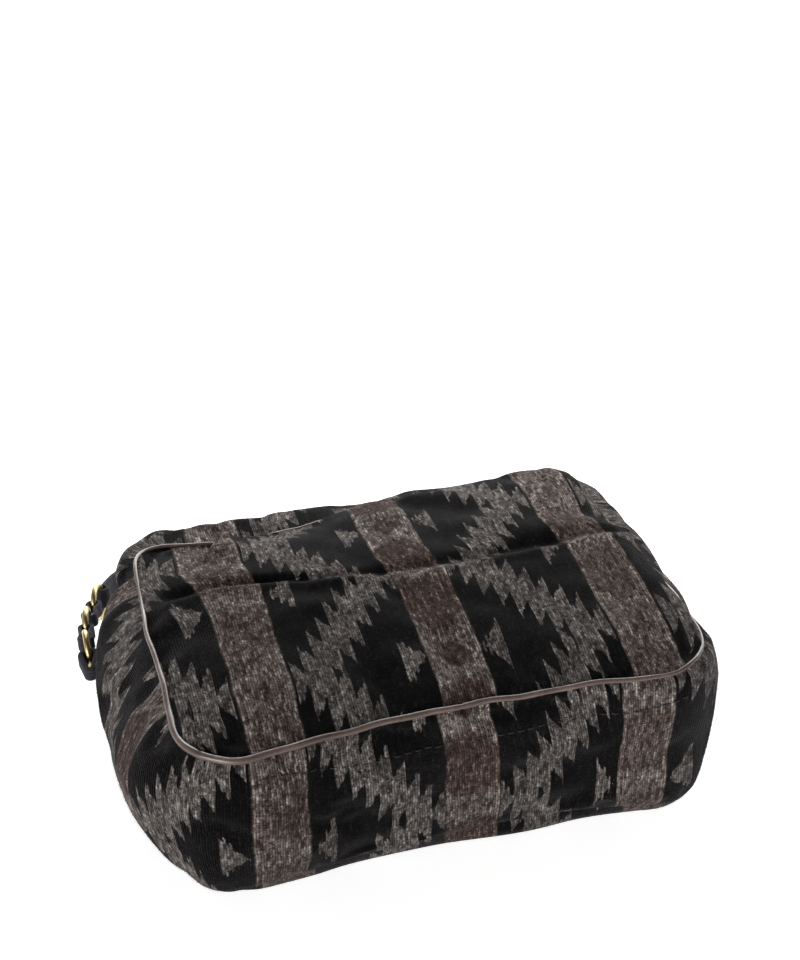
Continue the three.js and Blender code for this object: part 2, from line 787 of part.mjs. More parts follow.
const chain = chainLinks();
const strapTurn = (2 * ringCount - 1) * linkTurn;
const strapSlot = slotFor(strapWidth);
const strapEnd = chain.end.clone()
  .addScaledVector(headingOf(strapTurn), -wireSag(strapWidth) / 2);
const bendStart = strapEnd.clone()
  .addScaledVector(headingOf(strapTurn), strapSlot + suedeThickness + strapLead);
const bendCentre = bendStart.clone().add(
  new THREE.Vector2(Math.cos(strapTurn), -Math.sin(strapTurn)).multiplyScalar(strapBend),
);
const strapReach = bendCentre.y + strapBend;

// The strap's own frame: its hinge line runs along X through the two tab rings, and the strap lies
// behind the bag in a plane that tilts down until its edge meets the table
const edgeReach = strapReach + strapThickness / 2;
const strapTilt = Math.asin((ringZ - tableGap) / Math.hypot(edgeReach, strapWidth / 2))
  - Math.atan2(strapWidth / 2, edgeReach);
const strap = new THREE.Group();
strap.position.set(0, ringY, ringZ);
strap.rotation.x = -strapTilt;
bag.add(strap);

function addChain(side, name, seat) {
  const ringX = seat.x + side * tabHole.x;
  const tab = new THREE.Group();
  tab.position.copy(seat);
  tab.rotation.z = side * edgeTilt;
  bag.add(tab);
  const tabStraight = tabLength - 2 * tabOuter;
  const tabBody = slab(bandShape(tabStraight, tabLayer, tabSlot, tabStraight), tabWidth);
  tabBody.translate(side * (tabOuter + seamGap), tabOuter - tabLength / 2, 0);
  addMesh(`tab_${name}`, tabBody, "suede", tab);
  const tabRing = addMesh(`tab_ring_${name}`, ring(), "brass");
  tabRing.position.set(ringX, ringY, ringZ);

  const sag = wireSag(loopWidth);
  chain.links.forEach(({ loopStart, loopTurn, centre, ringTurn }, i) => {
    const shape = bandShape(wireGap + sag, suedeThickness, slotFor(loopWidth), 0);
    const loopBody = slab(shape, loopWidth).translate(0, -sag / 2, 0);
    const loop = addMesh(`strap_loop_${name}_${i + 1}`, loopBody, "suede", strap);
    loop.position.set(ringX - side * loopStart.x, loopStart.y, 0);
    loop.rotation.z = side * loopTurn;
    const link = addMesh(`strap_ring_${name}_${i + 1}`, ring(), "brass", strap);
    link.position.set(ringX - side * centre.x, centre.y, 0);
    link.rotation.z = side * ringTurn;
  });
  return ringX;
}

const leftRingX = addChain(-1, "left", leftSeat);
const rightRingX = addChain(1, "right", rightSeat);

// Strap: a flat band on its edge, bent round both corners behind the bag, with an eye at each end
function strapHalf(side, ringX) {
  const bendSteps = 9;
  const firstHeading = Math.PI / 2 - strapTurn;
  const wall = strapEnd.clone()
    .addScaledVector(headingOf(strapTurn), strapSlot + suedeThickness / 2);
  const place = (point) => new THREE.Vector2(ringX - side * point.x, point.y);
  const half = [{ point: place(wall), heading: -side * firstHeading }];
  for (let i = 0; i <= bendSteps; i += 1) {
    const heading = firstHeading * (1 - i / bendSteps);
    const point = bendCentre.clone().add(
      new THREE.Vector2(-Math.sin(heading), Math.cos(heading)).multiplyScalar(strapBend),
    );
    half.push({ point: place(point), heading: -side * heading });
  }
  return half;
}

function strapRoute() {
  const straightSteps = 6;
  const left = strapHalf(-1, leftRingX);
  const right = strapHalf(1, rightRingX).reverse();
  const across = Array.from({ length: straightSteps - 1 }, (_, i) => ({
    point: left.at(-1).point.clone().lerp(right[0].point, (i + 1) / straightSteps),
    heading: 0,
  }));
  return [...left, ...across, ...right];
}

function strapSection({ point, heading }) {
  const half = strapThickness / 2;
  const normal = new THREE.Vector2(-Math.sin(heading), Math.cos(heading));
  const corner = (out, z) => (
    new THREE.Vector3(point.x + normal.x * out, point.y + normal.y * out, z)
  );
  const top = strapWidth / 2;
  return [corner(half, -top), corner(half, top), corner(-half, top), corner(-half, -top)];
}

function strapEye(side, ringX) {
  const eyeRing = slab(ringShape(strapSlot + suedeThickness, strapSlot), strapWidth);
  return eyeRing.translate(ringX - side * strapEnd.x, strapEnd.y, 0);
}

const band = loft(strapRoute().map(strapSection), false);
const strapEyes = [strapEye(-1, leftRingX), strapEye(1, rightRingX)];
addMesh("shoulder_strap", joined([band, ...strapEyes]), "suede", strap);

export default bag;
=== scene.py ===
import math
import bmesh
import bpy
import numpy as np
from mathutils import Matrix, Vector


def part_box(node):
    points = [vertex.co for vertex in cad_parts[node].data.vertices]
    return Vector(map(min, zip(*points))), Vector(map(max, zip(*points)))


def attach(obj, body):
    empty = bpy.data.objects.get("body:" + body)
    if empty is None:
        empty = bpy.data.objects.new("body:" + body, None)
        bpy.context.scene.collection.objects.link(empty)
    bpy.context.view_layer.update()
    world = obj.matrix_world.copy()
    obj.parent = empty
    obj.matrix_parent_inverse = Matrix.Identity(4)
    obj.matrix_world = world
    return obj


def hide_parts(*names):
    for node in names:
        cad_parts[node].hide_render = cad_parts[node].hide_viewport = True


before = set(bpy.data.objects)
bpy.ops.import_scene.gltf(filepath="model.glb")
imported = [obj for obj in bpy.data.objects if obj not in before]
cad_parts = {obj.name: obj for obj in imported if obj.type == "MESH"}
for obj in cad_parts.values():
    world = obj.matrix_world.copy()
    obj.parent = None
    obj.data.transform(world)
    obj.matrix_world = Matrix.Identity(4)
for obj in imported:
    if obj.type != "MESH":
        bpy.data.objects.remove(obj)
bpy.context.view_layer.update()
scene = bpy.context.scene
scene.view_settings.view_transform = "Standard"
mm = 0.001  # the shapes below are worked out in millimetres
print("frame loaded:", len(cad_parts), "nodes")


# camera, as the photograph was taken
cameraSet = {
    "azimuth": -15.56, "elevation": 36.895, "distance": 1058.88,
    "target": (43.03, 173.81, 42.75), "lens": 60,
}
azimuth = math.radians(cameraSet["azimuth"])
elevation = math.radians(cameraSet["elevation"])
back = Vector((
    math.sin(azimuth) * math.cos(elevation),
    -math.cos(azimuth) * math.cos(elevation),
    math.sin(elevation),
))
cameraData = bpy.data.cameras.new("camera")
cameraData.lens = cameraSet["lens"]
cameraData.clip_start = 0.01
camera = bpy.data.objects.new("camera", cameraData)
camera.location = (Vector(cameraSet["target"]) + back * cameraSet["distance"]) * mm
camera.rotation_euler = (-back).to_track_quat("-Z", "Y").to_euler()
scene.collection.objects.link(camera)
scene.camera = camera


# small helpers
def linear(hexColour, alpha=1.0):
    values = [int(hexColour[i:i + 2], 16) / 255 for i in (1, 3, 5)]
    return [v / 12.92 if v <= 0.04045 else ((v + 0.055) / 1.055) ** 2.4 for v in values] + [alpha]


def addNode(tree, kind, links=None, **settings):  # a kind without "Node" in it is a shader node
    node = tree.nodes.new(kind if "Node" in kind else "ShaderNode" + kind)
    for name, value in settings.items():
        setattr(node, name, value)
    for socket, value in (links or {}).items():
        if isinstance(value, bpy.types.Node):
            value = value.outputs[0]
        if isinstance(value, bpy.types.NodeSocket):
            tree.links.new(value, node.inputs[socket])
        else:
            node.inputs[socket].default_value = value
    return node


def newMaterial(name):
    material = bpy.data.materials.new(name)
    material.use_nodes = True
    tree = material.node_tree
    tree.nodes.clear()
    return material, tree


def finishMaterial(material, tree, looks):
    addNode(tree, "OutputMaterial", {0: addNode(tree, "BsdfPrincipled", looks)})
    return material


def linkPiece(name, mesh, material):
    mesh.materials.append(material)
    mesh.shade_smooth()
    piece = bpy.data.objects.new(name, mesh)
    scene.collection.objects.link(piece)
    return piece


def makePiece(name, points, faces, material, uv=None):
    mesh = bpy.data.meshes.new(name)
    mesh.from_pydata([tuple(p) for p in points], [], [tuple(int(i) for i in f) for f in faces])
    if uv is not None:
        layer = mesh.uv_layers.new(name="cloth")
        corner = np.zeros(len(mesh.loops), dtype=np.int32)
        mesh.loops.foreach_get("vertex_index", corner)
        layer.data.foreach_set("uv", np.asarray(uv, dtype=np.float32)[corner].ravel())
    return linkPiece(name, mesh, material)


def bakeModifiers(piece):
    bpy.context.view_layer.update()
    graph = bpy.context.evaluated_depsgraph_get()
    mesh = bpy.data.meshes.new_from_object(
        piece.evaluated_get(graph), preserve_all_data_layers=True, depsgraph=graph)
    piece.modifiers.clear()
    old = piece.data
    piece.data = mesh
    mesh.name = piece.name
    bpy.data.meshes.remove(old)


def refine(piece, levels):
    smooth = piece.modifiers.new("smooth", "SUBSURF")
    smooth.levels = levels
    smooth.render_levels = levels
    bakeModifiers(piece)


def outwards(piece):
    work = bmesh.new()
    work.from_mesh(piece.data)
    bmesh.ops.remove_doubles(work, verts=work.verts, dist=1e-7)
    bmesh.ops.recalc_face_normals(work, faces=work.faces)
    work.to_mesh(piece.data)
    work.free()


def handOver(piece, body, slot, *nodes):  # the body that carries it, a finish that is not used, the nodes it stands for
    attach(piece, body)
    if nodes:
        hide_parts(*nodes)


def unit(vectors):
    vectors = np.asarray(vectors, dtype=float)
    return vectors / np.maximum(np.linalg.norm(vectors, axis=-1, keepdims=True), 1e-12)


def ease(low, high, x):
    t = np.clip((np.asarray(x, dtype=float) - low) / (high - low), 0, 1)
    return t * t * (3 - 2 * t)


def bell(x, middle, width):
    return np.exp(-((np.asarray(x, dtype=float) - middle) / width) ** 2)


def byMarks(x, marks):  # straight from one mark to the next
    return np.interp(x, *np.array(marks).T)


def lengthAlong(points):  # distance from the first point, down the first axis
    steps = np.linalg.norm(np.diff(points, axis=0), axis=-1)
    return np.concatenate([np.zeros_like(steps[:1]), np.cumsum(steps, axis=0)])


# materials
chenille = {  # thick ribbed chenille, woven in a stepped zigzag between stripes: dull, furry, many-toned
    # the rib multipliers paint shade between the ribs and light on their crowns
    "rib": 1.35, "tuft": 1.6, "wobble": 0.35, "wander": 3.0, "ribPaintedShading": (0.5, 1.22),
    "stripeCentre": 7.0, "stripeHalf": 14.5, "stripeFuzz": 1.6, "repeatAcross": 101.0,
    "firstTouch": 10.0, "repeatAlong": 70.0, "step": 7.0, "firstStep": 15.0, "stepDepth": 11.0,
    "slope": 1.42, "slopeStart": 26.0, "bandHalf": 18.5, "bandRagged": 3.4, "bandFuzz": 2.4,
    "triangleRise": (-2.5, 13.5), "triangleRagged": 5.0,  # each triangle: start, end, middle, half width
    "upperTriangle": (15.5, 27.0, 21.5, 6.0), "lowerTriangle": (16.5, 29.5, 23.0, 6.5),
    "deepFrom": (6.0, 12.0), "deepTo": (58.0, 52.0), "diamond": (12.0, 9.0), "deepShares": (0.95, 0.55),
    "edgeAt": 13.2, "edgeHalf": 0.9, "edgePaler": 0.1,
    "tuftTone": 0.34, "streakTone": (-0.06, 0.44), "fuzzTone": (-0.11, 0.37), "streakSize": (3.7, 0.13, 0),
    "black": [(0.0, "#060506"), (0.65, "#0d0c0d"), (1.0, "#242222")],
    "grey": [(0.0, "#0e0c0c"), (0.4, "#3f3b39"), (0.75, "#736d69"), (1.0, "#b2aca8")],
    "brown": [(0.0, "#100c0b"), (0.4, "#463e3a"), (0.75, "#7e746f"), (1.0, "#c2bab4")],
    "darkBrown": [(0.0, "#100b0a"), (0.5, "#392c28"), (0.85, "#5f4f49"), (1.0, "#a4978f")],
}


def makeChenille():
    material, tree = newMaterial("ribbed chenille")
    place = addNode(tree, "UVMap", uv_map="cloth")
    wander = addNode(tree, "TexNoise", {
        "Vector": place, "Scale": 0.03, "Detail": 2.0}, noise_dimensions="2D")
    wandered = addNode(tree, "Math", {0: wander, 1: 0.5}, operation="SUBTRACT")
    split = addNode(tree, "SeparateXYZ", {0: place})
    across = addNode(tree, "Math", {
        0: wandered, 1: chenille["wander"], 2: split.outputs[0]}, operation="MULTIPLY_ADD")
    along = split.outputs[1]
    # threads: one number for each rib, one for each tuft down it, and slow streaks
    fuzz = addNode(tree, "TexNoise", {
        "Vector": place, "Scale": 1.4, "Detail": 3.0, "Roughness": 0.7}, noise_dimensions="2D")
    fuzzy = addNode(tree, "Math", {0: fuzz, 1: chenille["wobble"], 2: across}, operation="MULTIPLY_ADD")
    ribPlace = addNode(tree, "Math", {0: fuzzy, 1: chenille["rib"]}, operation="DIVIDE")
    ribNumber = addNode(tree, "Math", {0: ribPlace}, operation="FLOOR")
    ribRandom = addNode(tree, "TexWhiteNoise", {"W": ribNumber}, noise_dimensions="1D")
    ribShift = addNode(tree, "Math", {0: ribRandom, 1: 57.0, 2: along}, operation="MULTIPLY_ADD")
    tuftPlace = addNode(tree, "Math", {0: along, 1: chenille["tuft"]}, operation="DIVIDE")
    cellPlace = addNode(tree, "CombineXYZ", {0: ribPlace, 1: tuftPlace})
    cells = addNode(tree, "TexVoronoi", {
        "Vector": cellPlace, "Scale": 1.0, "Randomness": 0.9}, voronoi_dimensions="2D")
    tuft = addNode(tree, "SeparateColor", {0: cells.outputs["Color"]})
    streakPlace = addNode(tree, "CombineXYZ", {0: ribNumber, 1: ribShift})
    drawnOut = addNode(tree, "VectorMath", {0: streakPlace, 1: chenille["streakSize"]}, operation="MULTIPLY")
    streak = addNode(tree, "TexNoise", {
        "Vector": drawnOut, "Scale": 1.0, "Detail": 3.0, "Roughness": 0.55}, noise_dimensions="2D")
    # distances to the middle of the nearest stripe and to the nearest touch of the zigzags
    fromCentre = addNode(tree, "Math", {0: across, 1: chenille["stripeCentre"]}, operation="SUBTRACT")
    first = addNode(tree, "Math", {0: fromCentre, 1: chenille["repeatAcross"]}, operation="PINGPONG")
    second = addNode(tree, "Math", {0: chenille["repeatAcross"], 1: first}, operation="SUBTRACT")
    fromTouch = addNode(tree, "Math", {0: along, 1: chenille["firstTouch"]}, operation="SUBTRACT")
    level = addNode(tree, "Math", {0: fromTouch, 1: chenille["repeatAlong"]}, operation="PINGPONG")
    fromTop = addNode(tree, "Math", {0: chenille["repeatAlong"], 1: level}, operation="SUBTRACT")
    # zigzag: pointed steps, one beside another, each rib a little longer or shorter
    stepPlace = addNode(tree, "Math", {0: first, 1: chenille["firstStep"]}, operation="SUBTRACT")
    stepShare = addNode(tree, "Math", {0: stepPlace, 1: chenille["step"]}, operation="DIVIDE")
    stepNumber = addNode(tree, "Math", {0: stepShare}, operation="FLOOR")
    stepInside = addNode(tree, "Math", {0: stepShare}, operation="FRACT")
    firstMiddle = chenille["firstStep"] + chenille["step"] / 2
    stepMiddle = addNode(tree, "Math", {
        0: stepNumber, 1: chenille["step"], 2: firstMiddle}, operation="MULTIPLY_ADD")
    pastStart = addNode(tree, "Math", {0: stepMiddle, 1: chenille["slopeStart"]}, operation="SUBTRACT")
    bandMiddle = addNode(tree, "Math", {0: pastStart, 1: chenille["slope"]}, operation="MULTIPLY")
    above = addNode(tree, "Math", {0: level, 1: bandMiddle}, operation="SUBTRACT")
    fromBand = addNode(tree, "Math", {0: above}, operation="ABSOLUTE")
    side = addNode(tree, "Math", {0: above}, operation="SIGN")
    slant = addNode(tree, "MapRange", {  # one straight side, one slanting
        0: stepInside, 3: chenille["stepDepth"] / 2, 4: -chenille["stepDepth"] / 2})
    ragged = chenille["bandHalf"]
    for source, share in ((slant, side), (ribRandom, chenille["bandRagged"]), (fuzz, chenille["bandFuzz"])):
        ragged = addNode(tree, "Math", {0: source, 1: share, 2: ragged}, operation="MULTIPLY_ADD")
    bandDepth = addNode(tree, "Math", {0: ragged, 1: fromBand}, operation="SUBTRACT")
    band = addNode(tree, "MapRange", {0: bandDepth, 1: 2.5, 2: 3.3})
    # small triangles beside the stripes
    tipNoise = addNode(tree, "Math", {0: ribRandom, 1: chenille["triangleRagged"]}, operation="MULTIPLY")
    low, high = chenille["triangleRise"]
    triangles = []
    for distance, height, name in ((first, fromTop, "upperTriangle"), (second, level, "lowerTriangle")):
        start, end, middle, half = chenille[name]
        rise = addNode(tree, "MapRange", {0: distance, 1: start, 2: end, 3: low, 4: high})
        rise = addNode(tree, "Math", {0: rise, 1: tipNoise}, operation="ADD")
        beside = addNode(tree, "Math", {0: distance, 1: middle, 2: half}, operation="COMPARE")
        under = addNode(tree, "Math", {0: height, 1: rise}, operation="LESS_THAN")
        triangles.append(addNode(tree, "Math", {0: under, 1: beside}, operation="MULTIPLY"))
    triangles = addNode(tree, "Math", dict(enumerate(triangles)), operation="MAXIMUM")
    grey = addNode(tree, "Math", {0: band, 1: triangles}, operation="MAXIMUM")
    # stripes, darker where the zigzags stand off them
    stripeAway = addNode(tree, "Math", {0: first, 1: second}, operation="MINIMUM")
    stripeNoise = addNode(tree, "Math", {
        0: fuzz, 1: chenille["stripeFuzz"], 2: stripeAway}, operation="MULTIPLY_ADD")
    stripe = addNode(tree, "MapRange", {
        0: stripeNoise, 1: chenille["stripeHalf"] + 1.2, 2: chenille["stripeHalf"] + 0.4})
    deepStart = addNode(tree, "MapRange", {0: level, 1: chenille["deepFrom"][0], 2: chenille["deepFrom"][1]})
    deepLine = addNode(tree, "Math", {0: stripeAway, 1: 0.9, 2: level}, operation="MULTIPLY_ADD")
    deepEnd = addNode(tree, "MapRange", {0: deepLine, 1: chenille["deepTo"][0], 2: chenille["deepTo"][1]})
    deep = addNode(tree, "Math", {0: deepStart, 1: deepEnd}, operation="MULTIPLY")
    diamondLine = addNode(tree, "Math", {0: stripeAway, 1: 1.1, 2: fromTop}, operation="MULTIPLY_ADD")
    diamond = addNode(tree, "MapRange", {
        0: diamondLine, 1: chenille["diamond"][0], 2: chenille["diamond"][1]})
    deep = addNode(tree, "Math", {0: deep, 1: diamond}, operation="MAXIMUM")
    isFirst = addNode(tree, "MapRange", {
        0: first, 1: 50.0, 2: 50.5, 3: chenille["deepShares"][0], 4: chenille["deepShares"][1]})
    deepShare = addNode(tree, "Math", {0: deep, 1: isFirst}, operation="MULTIPLY")
    # colours: each tuft takes its own tone from its zone's ramp
    streaked, fuzzed = (
        addNode(tree, "MapRange", {0: source, 1: 0.3, 2: 0.7, 3: chenille[name][0], 4: chenille[name][1]})
        for source, name in ((streak, "streakTone"), (fuzz, "fuzzTone")))
    tone = addNode(tree, "Math", {0: tuft, 1: chenille["tuftTone"], 2: streaked}, operation="MULTIPLY_ADD")
    tone = addNode(tree, "Math", {0: tone, 1: fuzzed}, operation="ADD")
    edging = addNode(tree, "Math", {
        0: stripeAway, 1: chenille["edgeAt"], 2: chenille["edgeHalf"]}, operation="COMPARE")
    edged = addNode(tree, "Math", {0: edging, 1: chenille["edgePaler"], 2: tone}, operation="MULTIPLY_ADD")
    ramps = {}
    for name, source in (("black", tone), ("grey", tone), ("brown", edged), ("darkBrown", edged)):
        ramp = addNode(tree, "ValToRGB", {0: source})
        stops = ramp.color_ramp.elements
        while len(stops) < len(chenille[name]):
            stops.new(0.5)
        for stop, (position, colour) in zip(stops, chenille[name]):
            stop.position = position
            stop.color = linear(colour)
        ramps[name] = ramp
    brown = addNode(tree, "MixRGB", {0: deepShare, 1: ramps["brown"], 2: ramps["darkBrown"]})
    withGrey = addNode(tree, "MixRGB", {0: grey, 1: ramps["black"], 2: ramps["grey"]})
    withStripe = addNode(tree, "MixRGB", {0: stripe, 1: withGrey, 2: brown})
    # pile: round ribs, tufts down each rib and loose fuzz
    ribInside = addNode(tree, "Math", {0: ribPlace, 1: 0.5}, operation="PINGPONG")
    ribRound = addNode(tree, "Math", {0: ribInside, 1: 0.5}, operation="POWER")
    tufted = addNode(tree, "Math", {0: tuft, 1: 0.5, 2: ribRound}, operation="MULTIPLY_ADD")
    pile = addNode(tree, "Math", {0: fuzz, 1: 0.9, 2: tufted}, operation="MULTIPLY_ADD")
    bump = addNode(tree, "Bump", {"Height": pile, "Strength": 0.8, "Distance": 0.0006})
    shade = addNode(tree, "MapRange", {  # painted shade darkens the colour between the ribs and painted light brightens their crowns
        0: ribRound, 1: 0.15, 2: 0.7, 3: chenille["ribPaintedShading"][0], 4: chenille["ribPaintedShading"][1]})
    coloured = addNode(tree, "MixRGB", {0: 1.0, 1: withStripe, 2: shade}, blend_type="MULTIPLY")
    return finishMaterial(material, tree, {
        "Base Color": coloured, "Roughness": 0.95, "Normal": bump, "Specular IOR Level": 0.04,
        "Sheen Weight": 0.14, "Sheen Roughness": 0.3, "Sheen Tint": linear("#d6d2d5")})


pipingLeather = {"base": "#4e3f39", "worn": "#67564f", "dark": "#332824", "grain": 0.5}


def makeLeather():  # dressed leather over a cord: a soft line of light, fine grain, paler and darker in patches
    material, tree = newMaterial("dressed leather")
    place = addNode(tree, "TexCoord").outputs["Object"]
    grain = addNode(tree, "TexVoronoi", {
        "Vector": place, "Scale": 1000.0 / pipingLeather["grain"]}, feature="DISTANCE_TO_EDGE")
    blotch = addNode(tree, "TexNoise", {"Vector": place, "Scale": 70.0, "Detail": 4.0})
    worn = addNode(tree, "MapRange", {0: blotch, 1: 0.45, 2: 0.7})
    dark = addNode(tree, "MapRange", {0: blotch, 1: 0.42, 2: 0.25})
    tone = addNode(tree, "MixRGB", {
        0: worn, 1: linear(pipingLeather["base"]), 2: linear(pipingLeather["worn"])})
    tone = addNode(tree, "MixRGB", {0: dark, 1: tone, 2: linear(pipingLeather["dark"])})
    rough = addNode(tree, "MapRange", {0: blotch, 1: 0.3, 2: 0.7, 3: 0.34, 4: 0.2})
    bump = addNode(tree, "Bump", {"Height": grain, "Strength": 0.25, "Distance": 0.0002})
    return finishMaterial(material, tree, {
        "Base Color": tone, "Roughness": rough, "Normal": bump, "Specular IOR Level": 0.4,
        "Coat Weight": 0.3, "Coat Roughness": 0.2})


suedeTones = {"base": "#1c1b1f", "nap": "#34323a", "fibre": 0.7}


def makeSuede():  # black split suede: no gloss, brushed nap in paler patches, furry edges
    material, tree = newMaterial("split suede")
    place = addNode(tree, "TexCoord").outputs["Object"]
    brushed = addNode(tree, "TexNoise", {
        "Vector": place, "Scale": 160.0, "Detail": 3.0, "Roughness": 0.6})
    fibre = addNode(tree, "TexNoise", {
        "Vector": place, "Scale": 1000.0 / suedeTones["fibre"], "Detail": 4.0, "Roughness": 0.75})
    nap = addNode(tree, "Math", {0: brushed, 1: fibre}, operation="MULTIPLY")
    share = addNode(tree, "MapRange", {0: nap, 1: 0.15, 2: 0.4})
    tone = addNode(tree, "MixRGB", {0: share, 1: linear(suedeTones["base"]), 2: linear(suedeTones["nap"])})
    bump = addNode(tree, "Bump", {"Height": fibre, "Strength": 0.6, "Distance": 0.0004})
    return finishMaterial(material, tree, {
        "Base Color": tone, "Roughness": 0.92, "Normal": bump, "Specular IOR Level": 0.2,
        "Sheen Weight": 0.25, "Sheen Roughness": 0.45, "Sheen Tint": linear("#8f8c96")})


brassTones = {"bright": "#cdb888", "aged": "#9a8558", "dark": "#55472e", "scratch": 0.4}


def makeBrass():  # cast brass, aged: warm, half dulled, brown in patches, fine handling marks
    material, tree = newMaterial("aged brass")
    place = addNode(tree, "TexCoord").outputs["Object"]
    cloud = addNode(tree, "TexNoise", {
        "Vector": place, "Scale": 220.0, "Detail": 5.0, "Roughness": 0.65})
    marks = addNode(tree, "TexNoise", {
        "Vector": place, "Scale": 1000.0 / brassTones["scratch"], "Detail": 2.0})
    aged = addNode(tree, "MapRange", {0: cloud, 1: 0.38, 2: 0.62})
    dark = addNode(tree, "MapRange", {0: cloud, 1: 0.62, 2: 0.76, 3: 0.0, 4: 0.8})
    tone = addNode(tree, "MixRGB", {0: aged, 1: linear(brassTones["bright"]), 2: linear(brassTones["aged"])})
    tone = addNode(tree, "MixRGB", {0: dark, 1: tone, 2: linear(brassTones["dark"])})
    rough = addNode(tree, "MapRange", {0: cloud, 1: 0.3, 2: 0.7, 3: 0.24, 4: 0.46})
    bump = addNode(tree, "Bump", {"Height": marks, "Strength": 0.12, "Distance": 0.0001})
    return finishMaterial(material, tree, {
        "Base Color": tone, "Metallic": 1.0, "Roughness": rough, "Normal": bump})


tapeWeave = {"thread": 0.9, "base": "#1d1b1c", "pale": "#3a3736"}


def makeTape():  # polyester zipper tape: flat herringbone weave, dull black with thin pale threads
    material, tree = newMaterial("woven tape")
    place = addNode(tree, "TexCoord").outputs["Object"]
    split = addNode(tree, "SeparateXYZ", {0: place})
    zig = addNode(tree, "Math", {0: split.outputs[2], 1: 0.002}, operation="PINGPONG")
    slant = addNode(tree, "Math", {0: split.outputs[0], 1: zig}, operation="ADD")
    wave = addNode(tree, "Math", {0: slant, 1: 2000.0 * math.pi / tapeWeave["thread"]}, operation="MULTIPLY")
    thread = addNode(tree, "Math", {0: wave}, operation="SINE")
    share = addNode(tree, "MapRange", {0: thread, 1: -0.2, 2: 1.0, 3: 0.0, 4: 0.8})
    tone = addNode(tree, "MixRGB", {0: share, 1: linear(tapeWeave["base"]), 2: linear(tapeWeave["pale"])})
    bump = addNode(tree, "Bump", {"Height": thread, "Strength": 0.5, "Distance": 0.0002})
    return finishMaterial(material, tree, {
        "Base Color": tone, "Roughness": 0.85, "Normal": bump, "Specular IOR Level": 0.3,
        "Sheen Weight": 0.1, "Sheen Roughness": 0.5})


threadTones = {"base": "#141315", "pale": "#2b292b", "twist": 0.8}


def makeThread():  # twisted polyester sewing thread: black, slight gloss, slanted plies
    material, tree = newMaterial("sewing thread")
    place = addNode(tree, "TexCoord").outputs["Object"]
    plies = addNode(tree, "TexWave", {
        "Vector": place, "Scale": 314.0 / threadTones["twist"], "Distortion": 1.0},
        bands_direction="DIAGONAL")
    tone = addNode(tree, "MixRGB", {0: plies, 1: linear(threadTones["base"]), 2: linear(threadTones["pale"])})
    bump = addNode(tree, "Bump", {"Height": plies, "Strength": 0.5, "Distance": 0.0001})
    return finishMaterial(material, tree, {
        "Base Color": tone, "Roughness": 0.55, "Normal": bump, "Specular IOR Level": 0.4})


liningTones = {"base": "#3b3532", "pale": "#4d4541", "thread": 1.2}


def makeLining():  # plain cotton: brown-grey, matte, square weave drawn coarse enough to show
    material, tree = newMaterial("cotton lining")
    place = addNode(tree, "TexCoord").outputs["Object"]
    scale = 2000.0 * math.pi / liningTones["thread"]
    scaled = addNode(tree, "VectorMath", {0: place, 1: (scale, scale, scale)},
                     operation="MULTIPLY")
    split = addNode(tree, "SeparateXYZ", {0: scaled})
    warp = addNode(tree, "Math", {0: split.outputs[0]}, operation="SINE")
    slanted = addNode(tree, "Math", {0: split.outputs[1], 1: split.outputs[2]}, operation="ADD")
    weft = addNode(tree, "Math", {0: slanted}, operation="SINE")
    weave = addNode(tree, "Math", {0: warp, 1: weft}, operation="MULTIPLY")
    share = addNode(tree, "MapRange", {0: weave, 1: -1.0, 2: 1.0})
    tone = addNode(tree, "MixRGB", {0: share, 1: linear(liningTones["base"]), 2: linear(liningTones["pale"])})
    bump = addNode(tree, "Bump", {"Height": weave, "Strength": 0.4, "Distance": 0.0002})
    return finishMaterial(material, tree, {"Base Color": tone, "Roughness": 0.85, "Normal": bump})


chenilleCloth = makeChenille()
dressedLeather = makeLeather()
splitSuede = makeSuede()
agedBrass = makeBrass()
wovenTape = makeTape()
sewingThread = makeThread()
cottonLining = makeLining()
print("materials made:", len(bpy.data.materials))


# the bag's form, as the seams and the filling give it
bagForm = {
    "panelHeight": 201.0, "bottomWidth": 290.0, "topWidth": 264.0, "bottomCorner": 34.0, "topCorner": 22.0,
    "lowerWaist": 8.0, "bottomDepth": 101.0, "topDepth": 84.0, "dome": 7.0, "edgePower": 6,
    "creaseY": 11.0, "leftFall": 16.5, "rightFall": 5.0, "creaseSoftness": 1.5, "farRoll": 22,
    "topLift": 12.0, "backInset": 1.0, "backSeamHeight": 6.0, "lowerSeamLift": 7.0, "backSwell": 7.0,
    "flatShare": 0.94,
    "swells": [
        (0, 0.7), (1.0, 0.6), (1.5, 0.4), (1.9, 0.6), (2.2, 1.0), (2.5, 0.95), (2.75, 0.65), (3.5, 0.6),
        (4, 0.9), (4.5, 1.0), (4.75, 0.85), (4.95, 0.75), (5.2, 0.5), (5.5, 0.36), (5.9, 0.36), (6.2, 0.6),
        (6.6, 0.7), (9, 0.7)],
    "bulges": [
        (0, 7), (1.0, 8), (1.5, 9), (2.0, 15), (2.4, 26.4), (2.62, 28), (2.88, 25.8), (3.1, 24), (3.5, 17),
        (4, 33), (5, 33), (5.5, 24), (5.9, 22), (6.03, 17), (6.1, 32), (6.25, 37), (6.45, 37.5),
        (6.75, 32.5), (7.5, 14), (9, 7)],
    "farLip": 1.5, "rightLip": 4.5,
    "lowBulge": [  # the near edge on the table
        (-140, 10), (-118, 2.5), (-99, 3), (-77, 6), (60, 6), (103, 6), (120, 9), (140, 9)],
    "crease": [
        (-140, 30), (-110, 27), (-90, 24), (-60, 17), (-40, 14), (-20, 11), (0, 8.5), (50, 8), (90, 10),
        (140, 14)],
}


